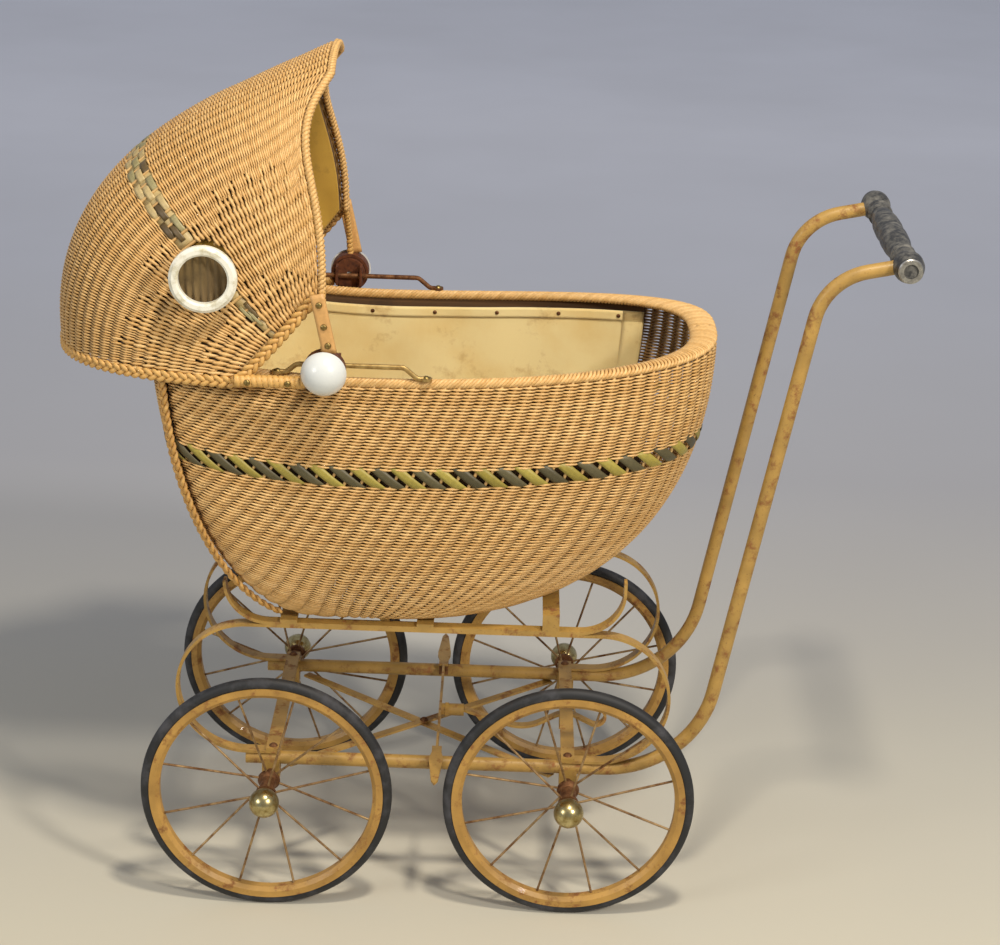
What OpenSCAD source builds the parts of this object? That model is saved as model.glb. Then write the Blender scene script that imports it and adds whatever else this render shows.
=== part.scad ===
// Wicker doll carriage: a woven tub carried on two C-springs, a hood that slides and tilts, a push
// handle, four wire wheels and a foot brake.
// The layout below puts the front axle at x = 0, with +X towards the push handle, the left side at -Y
// and the ground at z = 0. The whole carriage is then shifted so that its origin is on the ground,
// under the middle of its length and width.

/* [Wheels] */
// Outside diameter of a tyre
wheel_d = 254; // [230:1:280]
// Thickness of the round rubber tyre
tyre_d = 13; // [10:0.5:15]
// Distance between the front and rear axles
wheel_base = 305; // [290:1:350]
// Distance between the middle planes of the left and right wheels
wheel_track = 320; // [310:1:360]
// Number of spokes in a wheel
spoke_count = 12; // [8:2:16]
// Thickness of a wire spoke
spoke_d = 2.4; // [2:0.1:3.4]
// Diameter of a ball-shaped hub cap
cap_d = 30; // [26:1:36]
// Diameter of an axle
axle_d = 8; // [6:0.5:9]
// Radial running clearance of a hub on its axle
axle_gap = 0.05; // [0.02:0.01:0.1]

/* [Push handle] */
// Outside diameter of the push tubes
tube_d = 14; // [12:0.5:16]
// Wall of the push tubes
tube_wall = 1.5; // [1:0.1:3]
// Distance between the axes of the two push tubes
tube_spacing = 218; // [200:1:236]
// Height of the grip's axis above the ground
handle_h = 685; // [600:1:800]
// Lean of the upright part of a push tube from the vertical, in degrees
handle_lean = 10.2; // [6:0.1:20]
// Bend radius at the foot of the upright
foot_bend_r = 110; // [95:1:130]
// Bend radius below the grip
top_bend_r = 60; // [45:1:75]
// Length of the turned wooden grip
grip_len = 260; // [245:1:300]
// Largest diameter of the grip, at its end bulbs
grip_d = 30; // [26:0.5:34]

/* [Springs] */
// Radius of the C-shaped ends of a spring, at the middle of its steel
spring_r = 71; // [60:1:74]
// Thickness of the spring steel
strip_t = 3; // [2:0.1:4]
// Width of the spring steel
strip_w = 13; // [10:0.5:16]

/* [Tub] */
// Length of the tub at its rim
tub_len = 554; // [500:1:600]
// Overhang of the tub's front rim ahead of the front axle
tub_overhang = 117; // [100:1:125]
// Outside width of the tub at its rim
tub_w = 304; // [290:1:306]
// Height of the rim above the ground, at its lowest place
rim_h = 562; // [500:1:600]
// Thickness of the woven wall
weave_t = 5; // [4:0.5:7]
// Thickness of the fabric lining
cloth_t = 1.5; // [1:0.1:2]

/* [Hood] */
// Distance of the hood's pivot behind the front axle
pivot_x = 57; // [45:1:65]
// Outside width of the hood over its lower braid
hood_w = 342; // [334:1:350]
// Radius of the hood's dome about its pivot
hood_r = 266; // [250:1:275]
// Diameter of the rods that the hood slides on
rod_d = 5; // [4:0.5:6]
// Diameter of a clamping knob
knob_d = 43; // [36:1:44]
// Diameter of the pivot screws
pivot_d = 6; // [5:0.5:7]
// Outside diameter of a porthole ring
porthole_d = 64; // [56:1:70]
// Clear hole of a porthole
porthole_bore = 46; // [38:1:48]

/* [Motion] */
// How far the brake bar slides back onto the rear tyres
brake_travel = 6; // [4:0.5:8]

/* [Hidden] */
$fn = 48;
fine = 96;
touch = 0.3;      // gap left between curved faces that only touch
running = 0.08;   // radial clearance of a sliding or turning fit

// Chassis levels and places
wheel_r = wheel_d / 2;
axle_z = wheel_r;
saddle_t = 2;
tube_r = tube_d / 2;
tube_z = axle_z + axle_d / 2 + saddle_t + tube_r;
tube_y = tube_spacing / 2;
tube_top = tube_z + tube_r;
tube_nose = 26;
spring_low_z = tube_top + strip_t / 2;
spring_top_z = spring_low_z + 2 * spring_r;
spring_front_x = -24;
spring_rear_x = wheel_base + 28;
spring_lap = 34;
strap_z = spring_top_z + strip_t;
slat_z = strap_z + strip_t;
slat_w = 17;
tub_z = slat_z + strip_t / 2;
bed_z = spring_low_z + strip_t;
bed_w = 14;

// Grip
stub_rise = 12;
grip_stub = 37.6;
foot_turn = 90 - handle_lean;
top_turn = foot_turn - stub_rise;
foot_bend_x = wheel_base + 35;
upright_len = (handle_h - tube_z - foot_bend_r * (1 - cos(foot_turn)) - grip_stub * sin(stub_rise)
    - top_bend_r * (cos(stub_rise) - cos(foot_turn))) / sin(foot_turn);
grip_x = foot_bend_x + foot_bend_r * sin(foot_turn) + upright_len * cos(foot_turn)
    + top_bend_r * (sin(foot_turn) - sin(stub_rise)) + grip_stub * cos(stub_rise);
ferrule_t = 2;

// Tub outline: superellipses in plan, joined by superellipse profiles down to a smaller floor
tub_front = -tub_overhang;
tub_rear = tub_len - tub_overhang;
tub_mid = 100;
floor_front = 40;
floor_rear = 190;
floor_half = 104;
rim_rise_front = 24;
rim_rise_rear = 20;
rim_roll = 9;
nose_power = 9;
foot_power = 2.9;
tub_steps = 14;
lining_gap = 0.5;
board_t = 5;

// Hood: fan of arches about the pivot, from the upright face to the level lower edge
edge_z = rim_h + 2;
edge_d = 12;
braid_in = 3;
hood_half = hood_w / 2 - edge_d / 2 + braid_in;
face_half = hood_half - 8;
peak_rise = 26;
belly = 13;
face_scoop = 19.5;
corner_up = 87;
corner_out = 84;
hood_t = 5;
hood_rows = 15;
arch_steps = 28;
port_x = -56;
port_z = rim_h + 103;

// Hood carriage
rod_z = rim_h + 18;
rod_y = tub_w / 2 - 1;
rod_front = 32;
rod_rear = 128;
fork_half = 14;
fork_t = 2.5;
cup_in = hood_half - 6;
cup_out = cup_in + 16;
cup_d = 40;
cup_wall = 3;
knob_base = cup_out + 0.4;
knob_h = 17;
disc_screw = 3;
stick_d = 14;
stick_z = rod_z - 12;
stick_y = hood_half + 1.5;
bow_d = 8;
bow_y = cup_in + 7;

// Foot brake
bar_t = 2.5;
bar_w = 10;
leaf_half = 7;
bar_z = tube_top + touch + 3;
bar_reach = wheel_track / 2 + 18;
tyre_front_x = wheel_base - sqrt(pow(wheel_r, 2) - pow(bar_z - axle_z, 2));
flat_in = tube_y - 12;
leaf_end = bar_reach - flat_in - 8;
leaf_at_tyre = leaf_half - leaf_half / 2 * (wheel_track / 2 - flat_in - 32) / (leaf_end - 32);
bar_x = tyre_front_x - brake_travel - leaf_at_tyre - touch;
knuckle_d = 13;
lever_w = 9;

centre_x = (grip_x + grip_d / 2 + pivot_x - dome_r(90) + braid_in - edge_d / 2) / 2;

CORNERS = [["front_left", 0, 0], ["front_right", 0, 1], ["rear_left", 1, 0], ["rear_right", 1, 1]];
WHEEL_PARTS = ["tyre", "rim", "spokes", "hub", "hub_cap"];

// ---------------------------------------------------------------- helpers

// Puts the layout's own frame into the part's frame
module placed() {
    translate([-centre_x, 0, 0]) children();
}

// Draws its child on the left side, or mirrored on the right side
module on_side(right) {
    mirror([0, right ? 1 : 0, 0]) children();
}

module both_sides() {
    on_side(false) children();
    on_side(true) children();
}

// Sets off from (x, z) in the XZ plane at a heading above +X
module start_at(x, z, heading = 0) {
    translate([x, 0, z]) rotate([0, -heading, 0]) children();
}

// Sweeps a 2D section along straights [length] and bends [radius, turn], a positive turn going up
module route(moves, i = 0) {
    if (i < len(moves)) {
        m = moves[i];
        if (len(m) == 1) {
            rotate([0, 90, 0]) linear_extrude(m[0]) children();
            translate([m[0], 0, 0]) route(moves, i + 1) children();
        } else {
            bend(m[0], m[1]) children();
            translate([m[0] * sin(abs(m[1])), 0, sign(m[1]) * m[0] * (1 - cos(m[1]))])
                rotate([0, -m[1], 0])
                    route(moves, i + 1) children();
        }
    }
}

// One bend that leaves along +X and turns up or down about an axis along Y
module bend(radius, turn) {
    s = sign(turn);
    multmatrix([[0, 1, 0, 0], [0, 0, -s, 0], [-s, 0, 0, s * radius]])
        rotate_extrude(angle = abs(turn), $fn = fine) translate([radius, 0]) children();
}

module tube_section(d, wall) {
    difference() {
        circle(d = d);
        circle(d = d - 2 * wall);
    }
}

module strip_section(t, w) {
    square([t, w], center = true);
}

// Round bar between two points
module rod_between(a, b, d) {
    v = b - a;
    translate(a) rotate([0, acos(v[2] / norm(v)), atan2(v[1], v[0])]) cylinder(d = d, h = norm(v));
}

// Solid of revolution about the Y axis, from [radius, distance towards +Y] points
module turned(points) {
    rotate([-90, 0, 0]) rotate_extrude($fn = fine) polygon([for (p = points) [p[0], p[1]]]);
}

// Closed skin over a grid of points. Rows run along the first index; wrap joins the row ends.
module skin(rows, wrap, capped) {
    n = len(rows);
    m = len(rows[0]);
    last = wrap ? m - 1 : m - 2;
    polyhedron(
        points = [for (r = rows) for (p = r) p],
        faces = concat(
            [for (i = [0 : n - 2]) for (j = [0 : last])
                [i * m + j, (i + 1) * m + j, (i + 1) * m + (j + 1) % m, i * m + (j + 1) % m]],
            capped ? [[for (j = [0 : m - 1]) j], [for (j = [m - 1 : -1 : 0]) (n - 1) * m + j]] : []
        ),
        convexity = 8
    );
}

// Shell between an outer and an inner grid of the same size, closed round all four edges
module thick_skin(outer, inner) {
    n = len(outer);
    rows = concat(outer, [for (i = [n - 1 : -1 : 0]) inner[i]]);
    m = len(outer[0]);
    k = len(rows);
    polyhedron(
        points = [for (r = rows) for (p = r) p],
        faces = concat(
            [for (i = [0 : k - 1]) for (j = [0 : m - 2])
                [i * m + j, ((i + 1) % k) * m + j, ((i + 1) % k) * m + j + 1, i * m + j + 1]],
            [for (i = [0 : n - 2])
                [i * m, (k - 1 - i) * m, (k - 2 - i) * m, (i + 1) * m]],
            [for (i = [0 : n - 2])
                [(k - 1 - i) * m + m - 1, i * m + m - 1, (i + 1) * m + m - 1, (k - 2 - i) * m + m - 1]]
        ),
        convexity = 8
    );
}

// Unit direction from one point to the next, and a tube of round section along a list of points
function unit(v) = v / norm(v);
function along(path, i) = unit(path[min(i + 1, len(path) - 1)] - path[max(i - 1, 0)]);
function ring_at(c, t, r, sides) =
    let (up = abs(t[2]) > 0.9 ? [1, 0, 0] : [0, 0, 1], a = unit(cross(t, up)), b = cross(t, a))
    [for (k = [0 : sides - 1]) c + r * (cos(360 * k / sides) * a + sin(360 * k / sides) * b)];
module swept(path, d, sides = 8) {
    skin([for (i = [0 : len(path) - 1]) ring_at(path[i], along(path, i), d / 2, sides)], true, true);
}

// ---------------------------------------------------------------- wheels

module at_wheel(c) {
    placed()
        on_side(c[2] == 1)
            translate([c[1] * wheel_base, -wheel_track / 2, axle_z])
                children();
}

hub_r = 6.5;
hub_outer = -14;
hub_inner = 28;
flange_r = 10.5;
flange_t = 2;
flange_out_y = -5;
flange_in_y = 25;
rim_in_r = wheel_r - 19.5;
tyre_mid_r = wheel_r - tyre_d / 2;
spoke_seat = 0.8;

module tyre() {
    color("#26272a")
        rotate([90, 0, 0]) rotate_extrude($fn = fine) translate([tyre_mid_r, 0]) circle(d = tyre_d);
}

module rim() {
    lip = tyre_d / 2 + 0.8;
    color("#c9a248")
        rotate([90, 0, 0]) rotate_extrude($fn = fine) difference() {
            polygon([[rim_in_r, -4], [rim_in_r + 4, -lip], [tyre_mid_r - 2.5, -lip],
                [tyre_mid_r - 2.5, lip], [rim_in_r + 4, lip], [rim_in_r, 4]]);
            translate([tyre_mid_r, 0]) circle(d = tyre_d);
        }
}

module spokes() {
    color("#7c5a2e")
        for (k = [0 : spoke_count - 1]) {
            y = k % 2 == 0 ? flange_in_y : flange_out_y;
            rotate([0, 360 * (k + 0.5) / spoke_count, 0])
                rod_between([flange_r - spoke_seat - 1, y, 0], [rim_in_r + spoke_seat, 0, 0], spoke_d);
        }
}

module hub() {
    bore_r = axle_d / 2 + axle_gap;
    color("#6b4a2c")
        turned([[bore_r, hub_outer], [hub_r, hub_outer],
            [hub_r, flange_out_y - flange_t], [flange_r, flange_out_y - flange_t],
            [flange_r, flange_out_y + flange_t], [hub_r, flange_out_y + flange_t],
            [hub_r + 1.5, flange_in_y - 6], [flange_r, flange_in_y - flange_t],
            [flange_r + 1, flange_in_y], [flange_r, flange_in_y + flange_t],
            [hub_r + 1, hub_inner], [bore_r, hub_inner]]);
}

module hub_cap() {
    cap_r = cap_d / 2;
    shell = 1.5;
    mouth_y = -sqrt(pow(cap_r, 2) - pow(hub_r, 2));
    color("#b8a878")
        translate([0, hub_outer - 9, 0])
            rotate([90, 0, 0]) rotate_extrude($fn = fine) difference() {
                intersection() {
                    circle(r = cap_r, $fn = fine);
                    translate([0, mouth_y]) square([cap_r, 2 * cap_r]);
                }
                intersection() {
                    circle(r = cap_r - shell, $fn = fine);
                    translate([0, mouth_y + 2]) square([cap_r, 2 * cap_r]);
                }
                translate([0, -cap_r]) square([hub_r, cap_r - 3]);
            }
}

module wheel_part(name) {
    if (name == "tyre") tyre();
    if (name == "rim") rim();
    if (name == "spokes") spokes();
    if (name == "hub") hub();
    if (name == "hub_cap") hub_cap();
}

// ---------------------------------------------------------------- chassis

tube_moves = [[foot_bend_x + tube_nose], [foot_bend_r, foot_turn], [upright_len],
    [top_bend_r, -top_turn], [grip_stub]];

module push_tube() {
    color("#b58a45")
        translate([0, -tube_y, 0]) start_at(-tube_nose, tube_z)
            route(tube_moves) tube_section(tube_d, tube_wall);
}

module left_push_tube() {
    placed() push_tube();
}

module right_push_tube() {
    placed() on_side(true) push_tube();
}

// Half of the grip's turned outline, as [distance from the middle, radius] in shares of its size
grip_outline = [[0, 0.87], [0.12, 0.93], [0.3, 0.9], [0.5, 0.73], [0.57, 0.7], [0.59, 0.83],
    [0.62, 0.83], [0.64, 0.7], [0.67, 0.83], [0.7, 0.83], [0.72, 0.68], [0.76, 0.7], [0.8, 0.9],
    [0.86, 1], [0.92, 0.98], [0.97, 0.88], [1, 0.8]];

module grip() {
    half = grip_len / 2;
    side = [for (p = grip_outline) [p[1] * grip_d / 2, p[0] * half]];
    color("#2b2724")
        placed() difference() {
            translate([grip_x, 0, handle_h]) turned(concat(
                [for (p = side) p],
                [[0, half], [0, -half]],
                [for (i = [len(side) - 1 : -1 : 1]) [side[i][0], -side[i][1]]]));
            both_sides() translate([grip_x, -tube_y, handle_h]) rotate([0, -stub_rise, 0])
                rotate([0, -90, 0]) cylinder(d = tube_d, h = grip_d);
        }
}

module grip_ferrules() {
    r = 0.8 * grip_d / 2;
    color("#a9a9a6")
        placed() both_sides() translate([grip_x, -grip_len / 2 - ferrule_t, handle_h])
            turned([[r - 5, 0], [r - 1, 0], [r, ferrule_t / 2], [r, ferrule_t], [r - 5, ferrule_t]]);
}

// Flat steel bent into two open loops, joined along the top
module c_spring() {
    color("#c09a4a")
        translate([0, -tube_y, 0]) mirror([1, 0, 0])
            start_at(-spring_front_x - spring_lap, spring_low_z)
                route([[spring_lap], [spring_r, 180], [spring_rear_x - spring_front_x],
                    [spring_r, 180], [spring_lap + 3]])
                    strip_section(strip_t, strip_w);
}

module left_c_spring() {
    placed() c_spring();
}

module right_c_spring() {
    placed() on_side(true) c_spring();
}

strap_curl = 44;
strap_front_x = -2;
strap_rear_x = 310;

module cradle_strap() {
    color("#c09a4a")
        translate([0, -tube_y, 0])
            start_at(strap_front_x - strap_curl, strap_z + strap_curl, -90)
                route([[strap_curl, 90], [strap_rear_x - strap_front_x], [strap_curl, 90], [12]])
                    strip_section(strip_t, strip_w);
}

module left_cradle_strap() {
    placed() cradle_strap();
}

module right_cradle_strap() {
    placed() on_side(true) cradle_strap();
}

// Height of the tub's underside on its middle line, towards the rear
function keel_z(x) = tub_z + (rim_h + rim_rise_rear - tub_z)
    * fall((max(x, floor_rear) - floor_rear) / (tub_rear - floor_rear), 2.2);

// A flat bar across the straps. A raised one stands on two upright ends.
module slat(x, top) {
    half = tube_y + strip_w / 2;
    translate([x - slat_w / 2, -half, top - strip_t]) cube([slat_w, 2 * half, strip_t]);
    if (top > slat_z + 2 * strip_t)
        both_sides() translate([x - slat_w / 2, -half, slat_z - strip_t / 2])
            cube([slat_w, strip_t, top - slat_z]);
}

module cross_slats() {
    low_top = strap_z + strip_t / 2 + strip_t;
    rear_x = wheel_base - 24;
    color("#b8923f")
        placed() {
            slat(18, low_top);
            slat(155, low_top);
            slat(rear_x, keel_z(rear_x) - touch);
        }
}

module axle() {
    inner = wheel_track / 2 - hub_inner;
    tip = wheel_track / 2 - hub_outer + 9;
    color("#5e4a3a")
        translate([0, 0, axle_z]) {
            rotate([90, 0, 0]) cylinder(d = axle_d, h = 2 * tip, center = true);
            both_sides() {
                translate([0, -inner + 5.5, 0]) rotate([90, 0, 0]) cylinder(d = axle_d + 7, h = 5);
                translate([0, -tip + 6, 0]) rotate([90, 0, 0]) cylinder(d = axle_d + 5, h = 5, $fn = 6);
            }
        }
}

module front_axle() {
    placed() axle();
}

module rear_axle() {
    placed() translate([wheel_base, 0, 0]) axle();
}

module bed_bar() {
    half = tube_y + strip_w / 2;
    translate([-bed_w / 2, -half, bed_z - strip_t / 2]) cube([bed_w, 2 * half, strip_t]);
}

module front_axle_bed() {
    color("#c09a4a")
        placed() translate([2, 0, 0]) bed_bar();
}

// The rear bed carries a staple that the brake lever slides through
module rear_axle_bed() {
    drop = 17;
    inner_half = lever_w / 2 + 0.8;
    color("#c09a4a")
        placed() translate([wheel_base - 1, 0, 0]) {
            bed_bar();
            translate([-bed_w / 2, 0, bed_z - strip_t / 2 - drop]) {
                both_sides() translate([0, -inner_half - 2, 0]) cube([bed_w, 2, drop]);
                translate([0, -inner_half - 2, -2]) cube([bed_w, 2 * inner_half + 4, 2]);
            }
        }
}

// Blocks that seat each push tube on an axle
module axle_saddles() {
    low = axle_z - axle_d / 2 - 4;
    color("#6b5536")
        placed() for (x = [0, wheel_base]) both_sides() difference() {
            translate([x - 9, -tube_y - 8, low]) cube([18, 16, tube_z + 1 - low]);
            translate([x, -tube_y, axle_z]) rotate([90, 0, 0])
                cylinder(d = axle_d, h = 3 * strip_w, center = true);
            translate([x, -tube_y, tube_z]) rotate([0, 90, 0])
                cylinder(d = tube_d, h = 3 * strip_w, center = true);
        }
}

brace_w = 9;
brace_t = 2.5;
brace_x = 17;

// Two flat straps crossed under the tubes
module brace_straps() {
    span = wheel_base - 2 * brace_x;
    reach = 2 * tube_y - 2;
    turn = atan2(reach, span);
    color("#b8923f")
        placed() for (s = [1, -1])
            translate([wheel_base / 2, 0, tube_z - tube_r - brace_t * (s > 0 ? 0.5 : 1.5) - touch / 2])
                rotate([0, 0, s * turn])
                    cube([norm([span, reach]), brace_w, brace_t], center = true);
}

// Round heads of the bolts through the springs and beds, and of one where the braces cross
module chassis_bolts() {
    color("#7a5f3c")
        placed() {
            for (x = [2, wheel_base - 1]) both_sides()
                translate([x, -tube_y, bed_z + strip_t / 2]) screw_head(9, 3);
            translate([wheel_base / 2, 0, tube_z - tube_r - touch / 2]) screw_head(9, 3);
        }
}

// Low round head that sits on a surface
module screw_head(d, h) {
    r = (pow(d / 2, 2) + pow(h, 2)) / (2 * h);
    rotate_extrude($fn = 32) intersection() {
        translate([0, h - r]) circle(r = r, $fn = fine);
        square([d, h]);
    }
}

// ---------------------------------------------------------------- foot brake

module brake_bar() {
    leaf = [[-bar_w / 2, 0], [-bar_w / 2, 14], [-leaf_half, 24], [-leaf_half, 32],
        [-leaf_half / 2, leaf_end], [0, leaf_end + 8], [leaf_half / 2, leaf_end], [leaf_half, 32],
        [leaf_half, 24], [bar_w / 2, 14], [bar_w / 2, 0]];
    color("#c09a4a")
        placed() translate([bar_x, 0, bar_z]) {
            translate([-bar_t / 2, -flat_in - 1, -bar_w + bar_t])
                cube([bar_t, 2 * flat_in + 2, bar_w]);
            both_sides() translate([0, -flat_in, 0]) mirror([0, 1, 0])
                linear_extrude(bar_t) polygon(leaf);
        }
}

// Clips under the bar that slide along the push tubes
module brake_guides() {
    color("#6b5536")
        placed() both_sides() difference() {
            translate([bar_x - 5, -tube_y - tube_r - 3, tube_z - 1])
                cube([10, tube_d + 6, bar_z - tube_z + 1]);
            translate([bar_x, -tube_y, tube_z]) rotate([0, 90, 0])
                cylinder(r = tube_r + running, h = 30, center = true);
            translate([bar_x - 6, -tube_y - tube_r - running, tube_z - 2])
                cube([12, tube_d + 2 * running, 2]);
        }
}

knuckle_z = bar_z - 4;
knuckle_len = 24;

module brake_knuckle() {
    color("#8a6a3a")
        placed() translate([bar_x + bar_t / 2, 0, knuckle_z]) rotate([0, 90, 0]) {
            cylinder(d = knuckle_d, h = knuckle_len);
            translate([0, 0, 4]) cylinder(d = knuckle_d + 3, h = 4, $fn = 6);
        }
}

// Wavy strip from the knuckle, through the rear bed's staple, to a curled foot loop
module brake_lever() {
    run = wheel_base - 106 - (bar_x + knuckle_len);
    color("#b8923f")
        placed() start_at(bar_x + bar_t / 2 + knuckle_len, knuckle_z + 1, -18)
            route([[run + 43.5], [45, 46], [18], [25, -55], [18], [10, 172], [9]])
                strip_section(strip_t, lever_w);
}

// ---------------------------------------------------------------- tub

// Superellipse helpers: share of the way out, and share of the way up, along a quarter profile
function spow(v, p) = sign(v) * pow(abs(v), p);
function fall(u, n) = 1 - pow(max(0, 1 - pow(min(u, 1), n)), 1 / n);

// Point of the tub wall: a is the plan angle (0 at the foot end), s the way up from floor to rim,
// and t the distance in from the outer face
function profile_power(a) = 2.2 - 0.45 * max(0, -cos(a));
function way_out(a, s) = pow(sin(90 * s), 2 / profile_power(a));
function way_up(a, s) = 1 - pow(cos(90 * s), 2 / profile_power(a));
function plan_power(a) = cos(a) < 0 ? nose_power : foot_power;
function mixed(low, high, w) = low + (high - low) * w;
function rim_z(x) = x < tub_mid
    ? rim_h + rim_rise_front * pow((tub_mid - x) / (tub_mid - tub_front), 2)
    : rim_h + rim_rise_rear * pow((x - tub_mid) / (tub_rear - tub_mid), 1.8);
function tub_point(a, s, t) =
    let (
        w = way_out(a, s),
        ahead = tub_mid - mixed(floor_front, tub_front, w) - t,
        behind = mixed(floor_rear, tub_rear, w) - tub_mid - t,
        half = mixed(floor_half, tub_w / 2, w) - t,
        p = 2 / plan_power(a),
        x = tub_mid + (cos(a) < 0 ? ahead : behind) * spow(cos(a), p),
        y = half * spow(sin(a), p),
        low = tub_z + t
    )
    [x, y, low + (rim_z(x) - low) * way_up(a, s)];

tub_angles = concat([for (a = [0 : 9 : 90]) a], [90.1, 92, 97, 107, 120, 132, 142, 154, 168, 180]);
tub_loop = concat(tub_angles, [for (i = [len(tub_angles) - 2 : -1 : 1]) 360 - tub_angles[i]]);

// Rings round the tub from floor to rim, t inside its outer face
function tub_rings(t) = [for (k = [0 : tub_steps]) [for (a = tub_loop) tub_point(a, k / tub_steps, t)]];

module tub_shell() {
    inside = tub_rings(weave_t);
    color("#d9a868")
        placed() skin(concat(tub_rings(0), [for (k = [tub_steps : -1 : 0]) inside[k]]), true, true);
}

// Rolled border round the rim, widening into a rounded deck at the foot end
function roll_width(a) = rim_roll + 19 * pow(max(0, cos(a)), 2);
function roll_ring(a) =
    let (
        p = tub_point(a, 1, 0),
        q = tub_point(a, 1, roll_width(a)),
        inward = (q - p) / 2,
        c = p + inward + [0, 0, 0.5]
    )
    [for (k = [0 : 9]) c + inward * cos(36 * k) + [0, 0, (rim_roll / 2 + 0.5) * sin(36 * k)]];

module tub_rim() {
    rings = [for (a = tub_loop) roll_ring(a)];
    color("#deb070")
        placed() skin(concat(rings, [rings[0]]), true, false);
}

module tub_floor() {
    inset = weave_t + 4;
    s = 0.3;
    color("#8a7350")
        placed() translate([0, 0, tub_point(180, s, inset)[2] + 4]) linear_extrude(board_t)
            polygon([for (a = tub_loop) let (p = tub_point(a, s, inset + 3)) [p[0], p[1]]]);
}

corner_angle = 132;

// Plaits over the two upright corners at the front of the tub
module corner_braids() {
    path = [for (k = [3 : tub_steps]) tub_point(corner_angle, k / tub_steps * 0.9, -3.5)];
    color("#d9a25c")
        placed() both_sides() mirror([0, 1, 0]) swept(path, 9, 8);
}

lining_angles = [for (i = [5 : len(tub_loop) - 5]) tub_loop[i]];
lining_low = 0.42;

// Cloth tacked inside the wall, open at the foot end
module tub_lining() {
    gap = weave_t + lining_gap;
    function grid(t) = [for (k = [0 : 8]) [for (a = lining_angles)
        tub_point(a, mixed(lining_low, 0.965, k / 8), t)]];
    color("#c9b06a")
        placed() thick_skin(grid(gap), grid(gap + cloth_t));
}

// A rod bent down at both ends to a flat eye on the rim
function foot_z(way) = rim_h + (way > 0 ? 7.2 : 10);
rod_slope = 40;
rod_bend_r = 8;
rod_toe = 3;
function rod_run(way) = 2 * rod_bend_r * sin(rod_slope) + rod_toe
    + (rod_z - foot_z(way) - 2 * rod_bend_r * (1 - cos(rod_slope))) / tan(rod_slope);
eye_d = 11;
rod_eyes = [[rod_front - rod_run(-1) - eye_d / 2 + 3, foot_z(-1)],
    [rod_rear + rod_run(1) + eye_d / 2 - 3, foot_z(1)]];

// Bent end of a rod, from its straight part down to its toe
function bent_end(x, way) = concat(
    [for (k = [0 : 4]) let (t = rod_slope * k / 4)
        [x + way * rod_bend_r * sin(t), -rod_y, rod_z - rod_bend_r * (1 - cos(t))]],
    [for (k = [4 : -1 : 0]) let (t = rod_slope * k / 4)
        [x + way * (rod_run(way) - rod_toe - rod_bend_r * sin(t)), -rod_y,
            foot_z(way) + rod_bend_r * (1 - cos(t))]],
    [[x + way * rod_run(way), -rod_y, foot_z(way)]]);

module slide_rod() {
    color("#9a7650") {
        translate([rod_front, -rod_y, rod_z]) rotate([0, 90, 0])
            cylinder(d = rod_d, h = rod_rear - rod_front);
        swept(bent_end(rod_rear, 1), rod_d, 12);
        swept(bent_end(rod_front, -1), rod_d, 12);
        for (e = rod_eyes)
            translate([e[0], -rod_y, e[1] - 1.2]) cylinder(d = eye_d, h = 2.4);
    }
}

module left_slide_rod() {
    placed() slide_rod();
}

module right_slide_rod() {
    placed() on_side(true) slide_rod();
}

module rod_screws() {
    color("#8a7a60")
        placed() both_sides() for (e = rod_eyes)
            translate([e[0], -rod_y, e[1] + 1.2]) screw_head(7, 2.2);
}

// ---------------------------------------------------------------- hood carriage

// Fork that straddles a slide rod, and the disc that the cup turns on
module rod_clamp() {
    disc_t = 4;
    fork_in = rod_y - 6;
    fork_z = rod_z - 9.4;
    color("#7a4a30")
        difference() {
            union() {
                translate([pivot_x, -cup_in + disc_t / 2, rod_z]) rotate([90, 0, 0])
                    cylinder(d = cup_d - 2 * cup_wall - 1, h = disc_t + 3, center = true);
                for (s = [-1, 1])
                    translate([pivot_x + s * (fork_half - fork_t / 2) - fork_t / 2, -cup_in, fork_z])
                        cube([fork_t, cup_in - fork_in, 20]);
            }
            translate([pivot_x, -rod_y, rod_z]) rotate([0, 90, 0])
                cylinder(r = rod_d / 2 + running, h = 60, center = true);
            translate([pivot_x, -cup_in, rod_z]) rotate([90, 0, 0])
                cylinder(r = pivot_d / 2 + running, h = 60, center = true);
        }
}

module left_rod_clamp() {
    placed() rod_clamp();
}

module right_rod_clamp() {
    placed() on_side(true) rod_clamp();
}

// Dished steel cup that holds the hood's arms
module cup() {
    color("#6e4630")
        difference() {
            translate([pivot_x, -cup_out, rod_z]) rotate([-90, 0, 0]) cylinder(d = cup_d, h = 16);
            translate([pivot_x, -cup_out + 9, rod_z]) rotate([-90, 0, 0])
                cylinder(d = cup_d - 2 * cup_wall, h = 16);
            translate([pivot_x, -cup_out, rod_z]) rotate([90, 0, 0])
                cylinder(r = pivot_d / 2 + running, h = 60, center = true);
        }
}

module left_cup() {
    placed() cup();
}

module right_cup() {
    placed() on_side(true) cup();
}

// Domed knob on its clamping screw
module knob() {
    dome_r = (pow(knob_d / 2, 2) + pow(knob_h, 2)) / (2 * knob_h);
    screw_in = cup_in - disc_screw;
    color("#e6e9ea")
        translate([pivot_x, -knob_base, rod_z]) {
            rotate([90, 0, 0]) rotate_extrude($fn = fine) intersection() {
                translate([0, knob_h - dome_r]) circle(r = dome_r, $fn = fine);
                square([knob_d, knob_h]);
            }
            rotate([-90, 0, 0]) cylinder(d = pivot_d, h = knob_base - screw_in);
        }
}

module left_knob() {
    placed() knob();
}

module right_knob() {
    placed() on_side(true) knob();
}

// ---------------------------------------------------------------- hood

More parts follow.
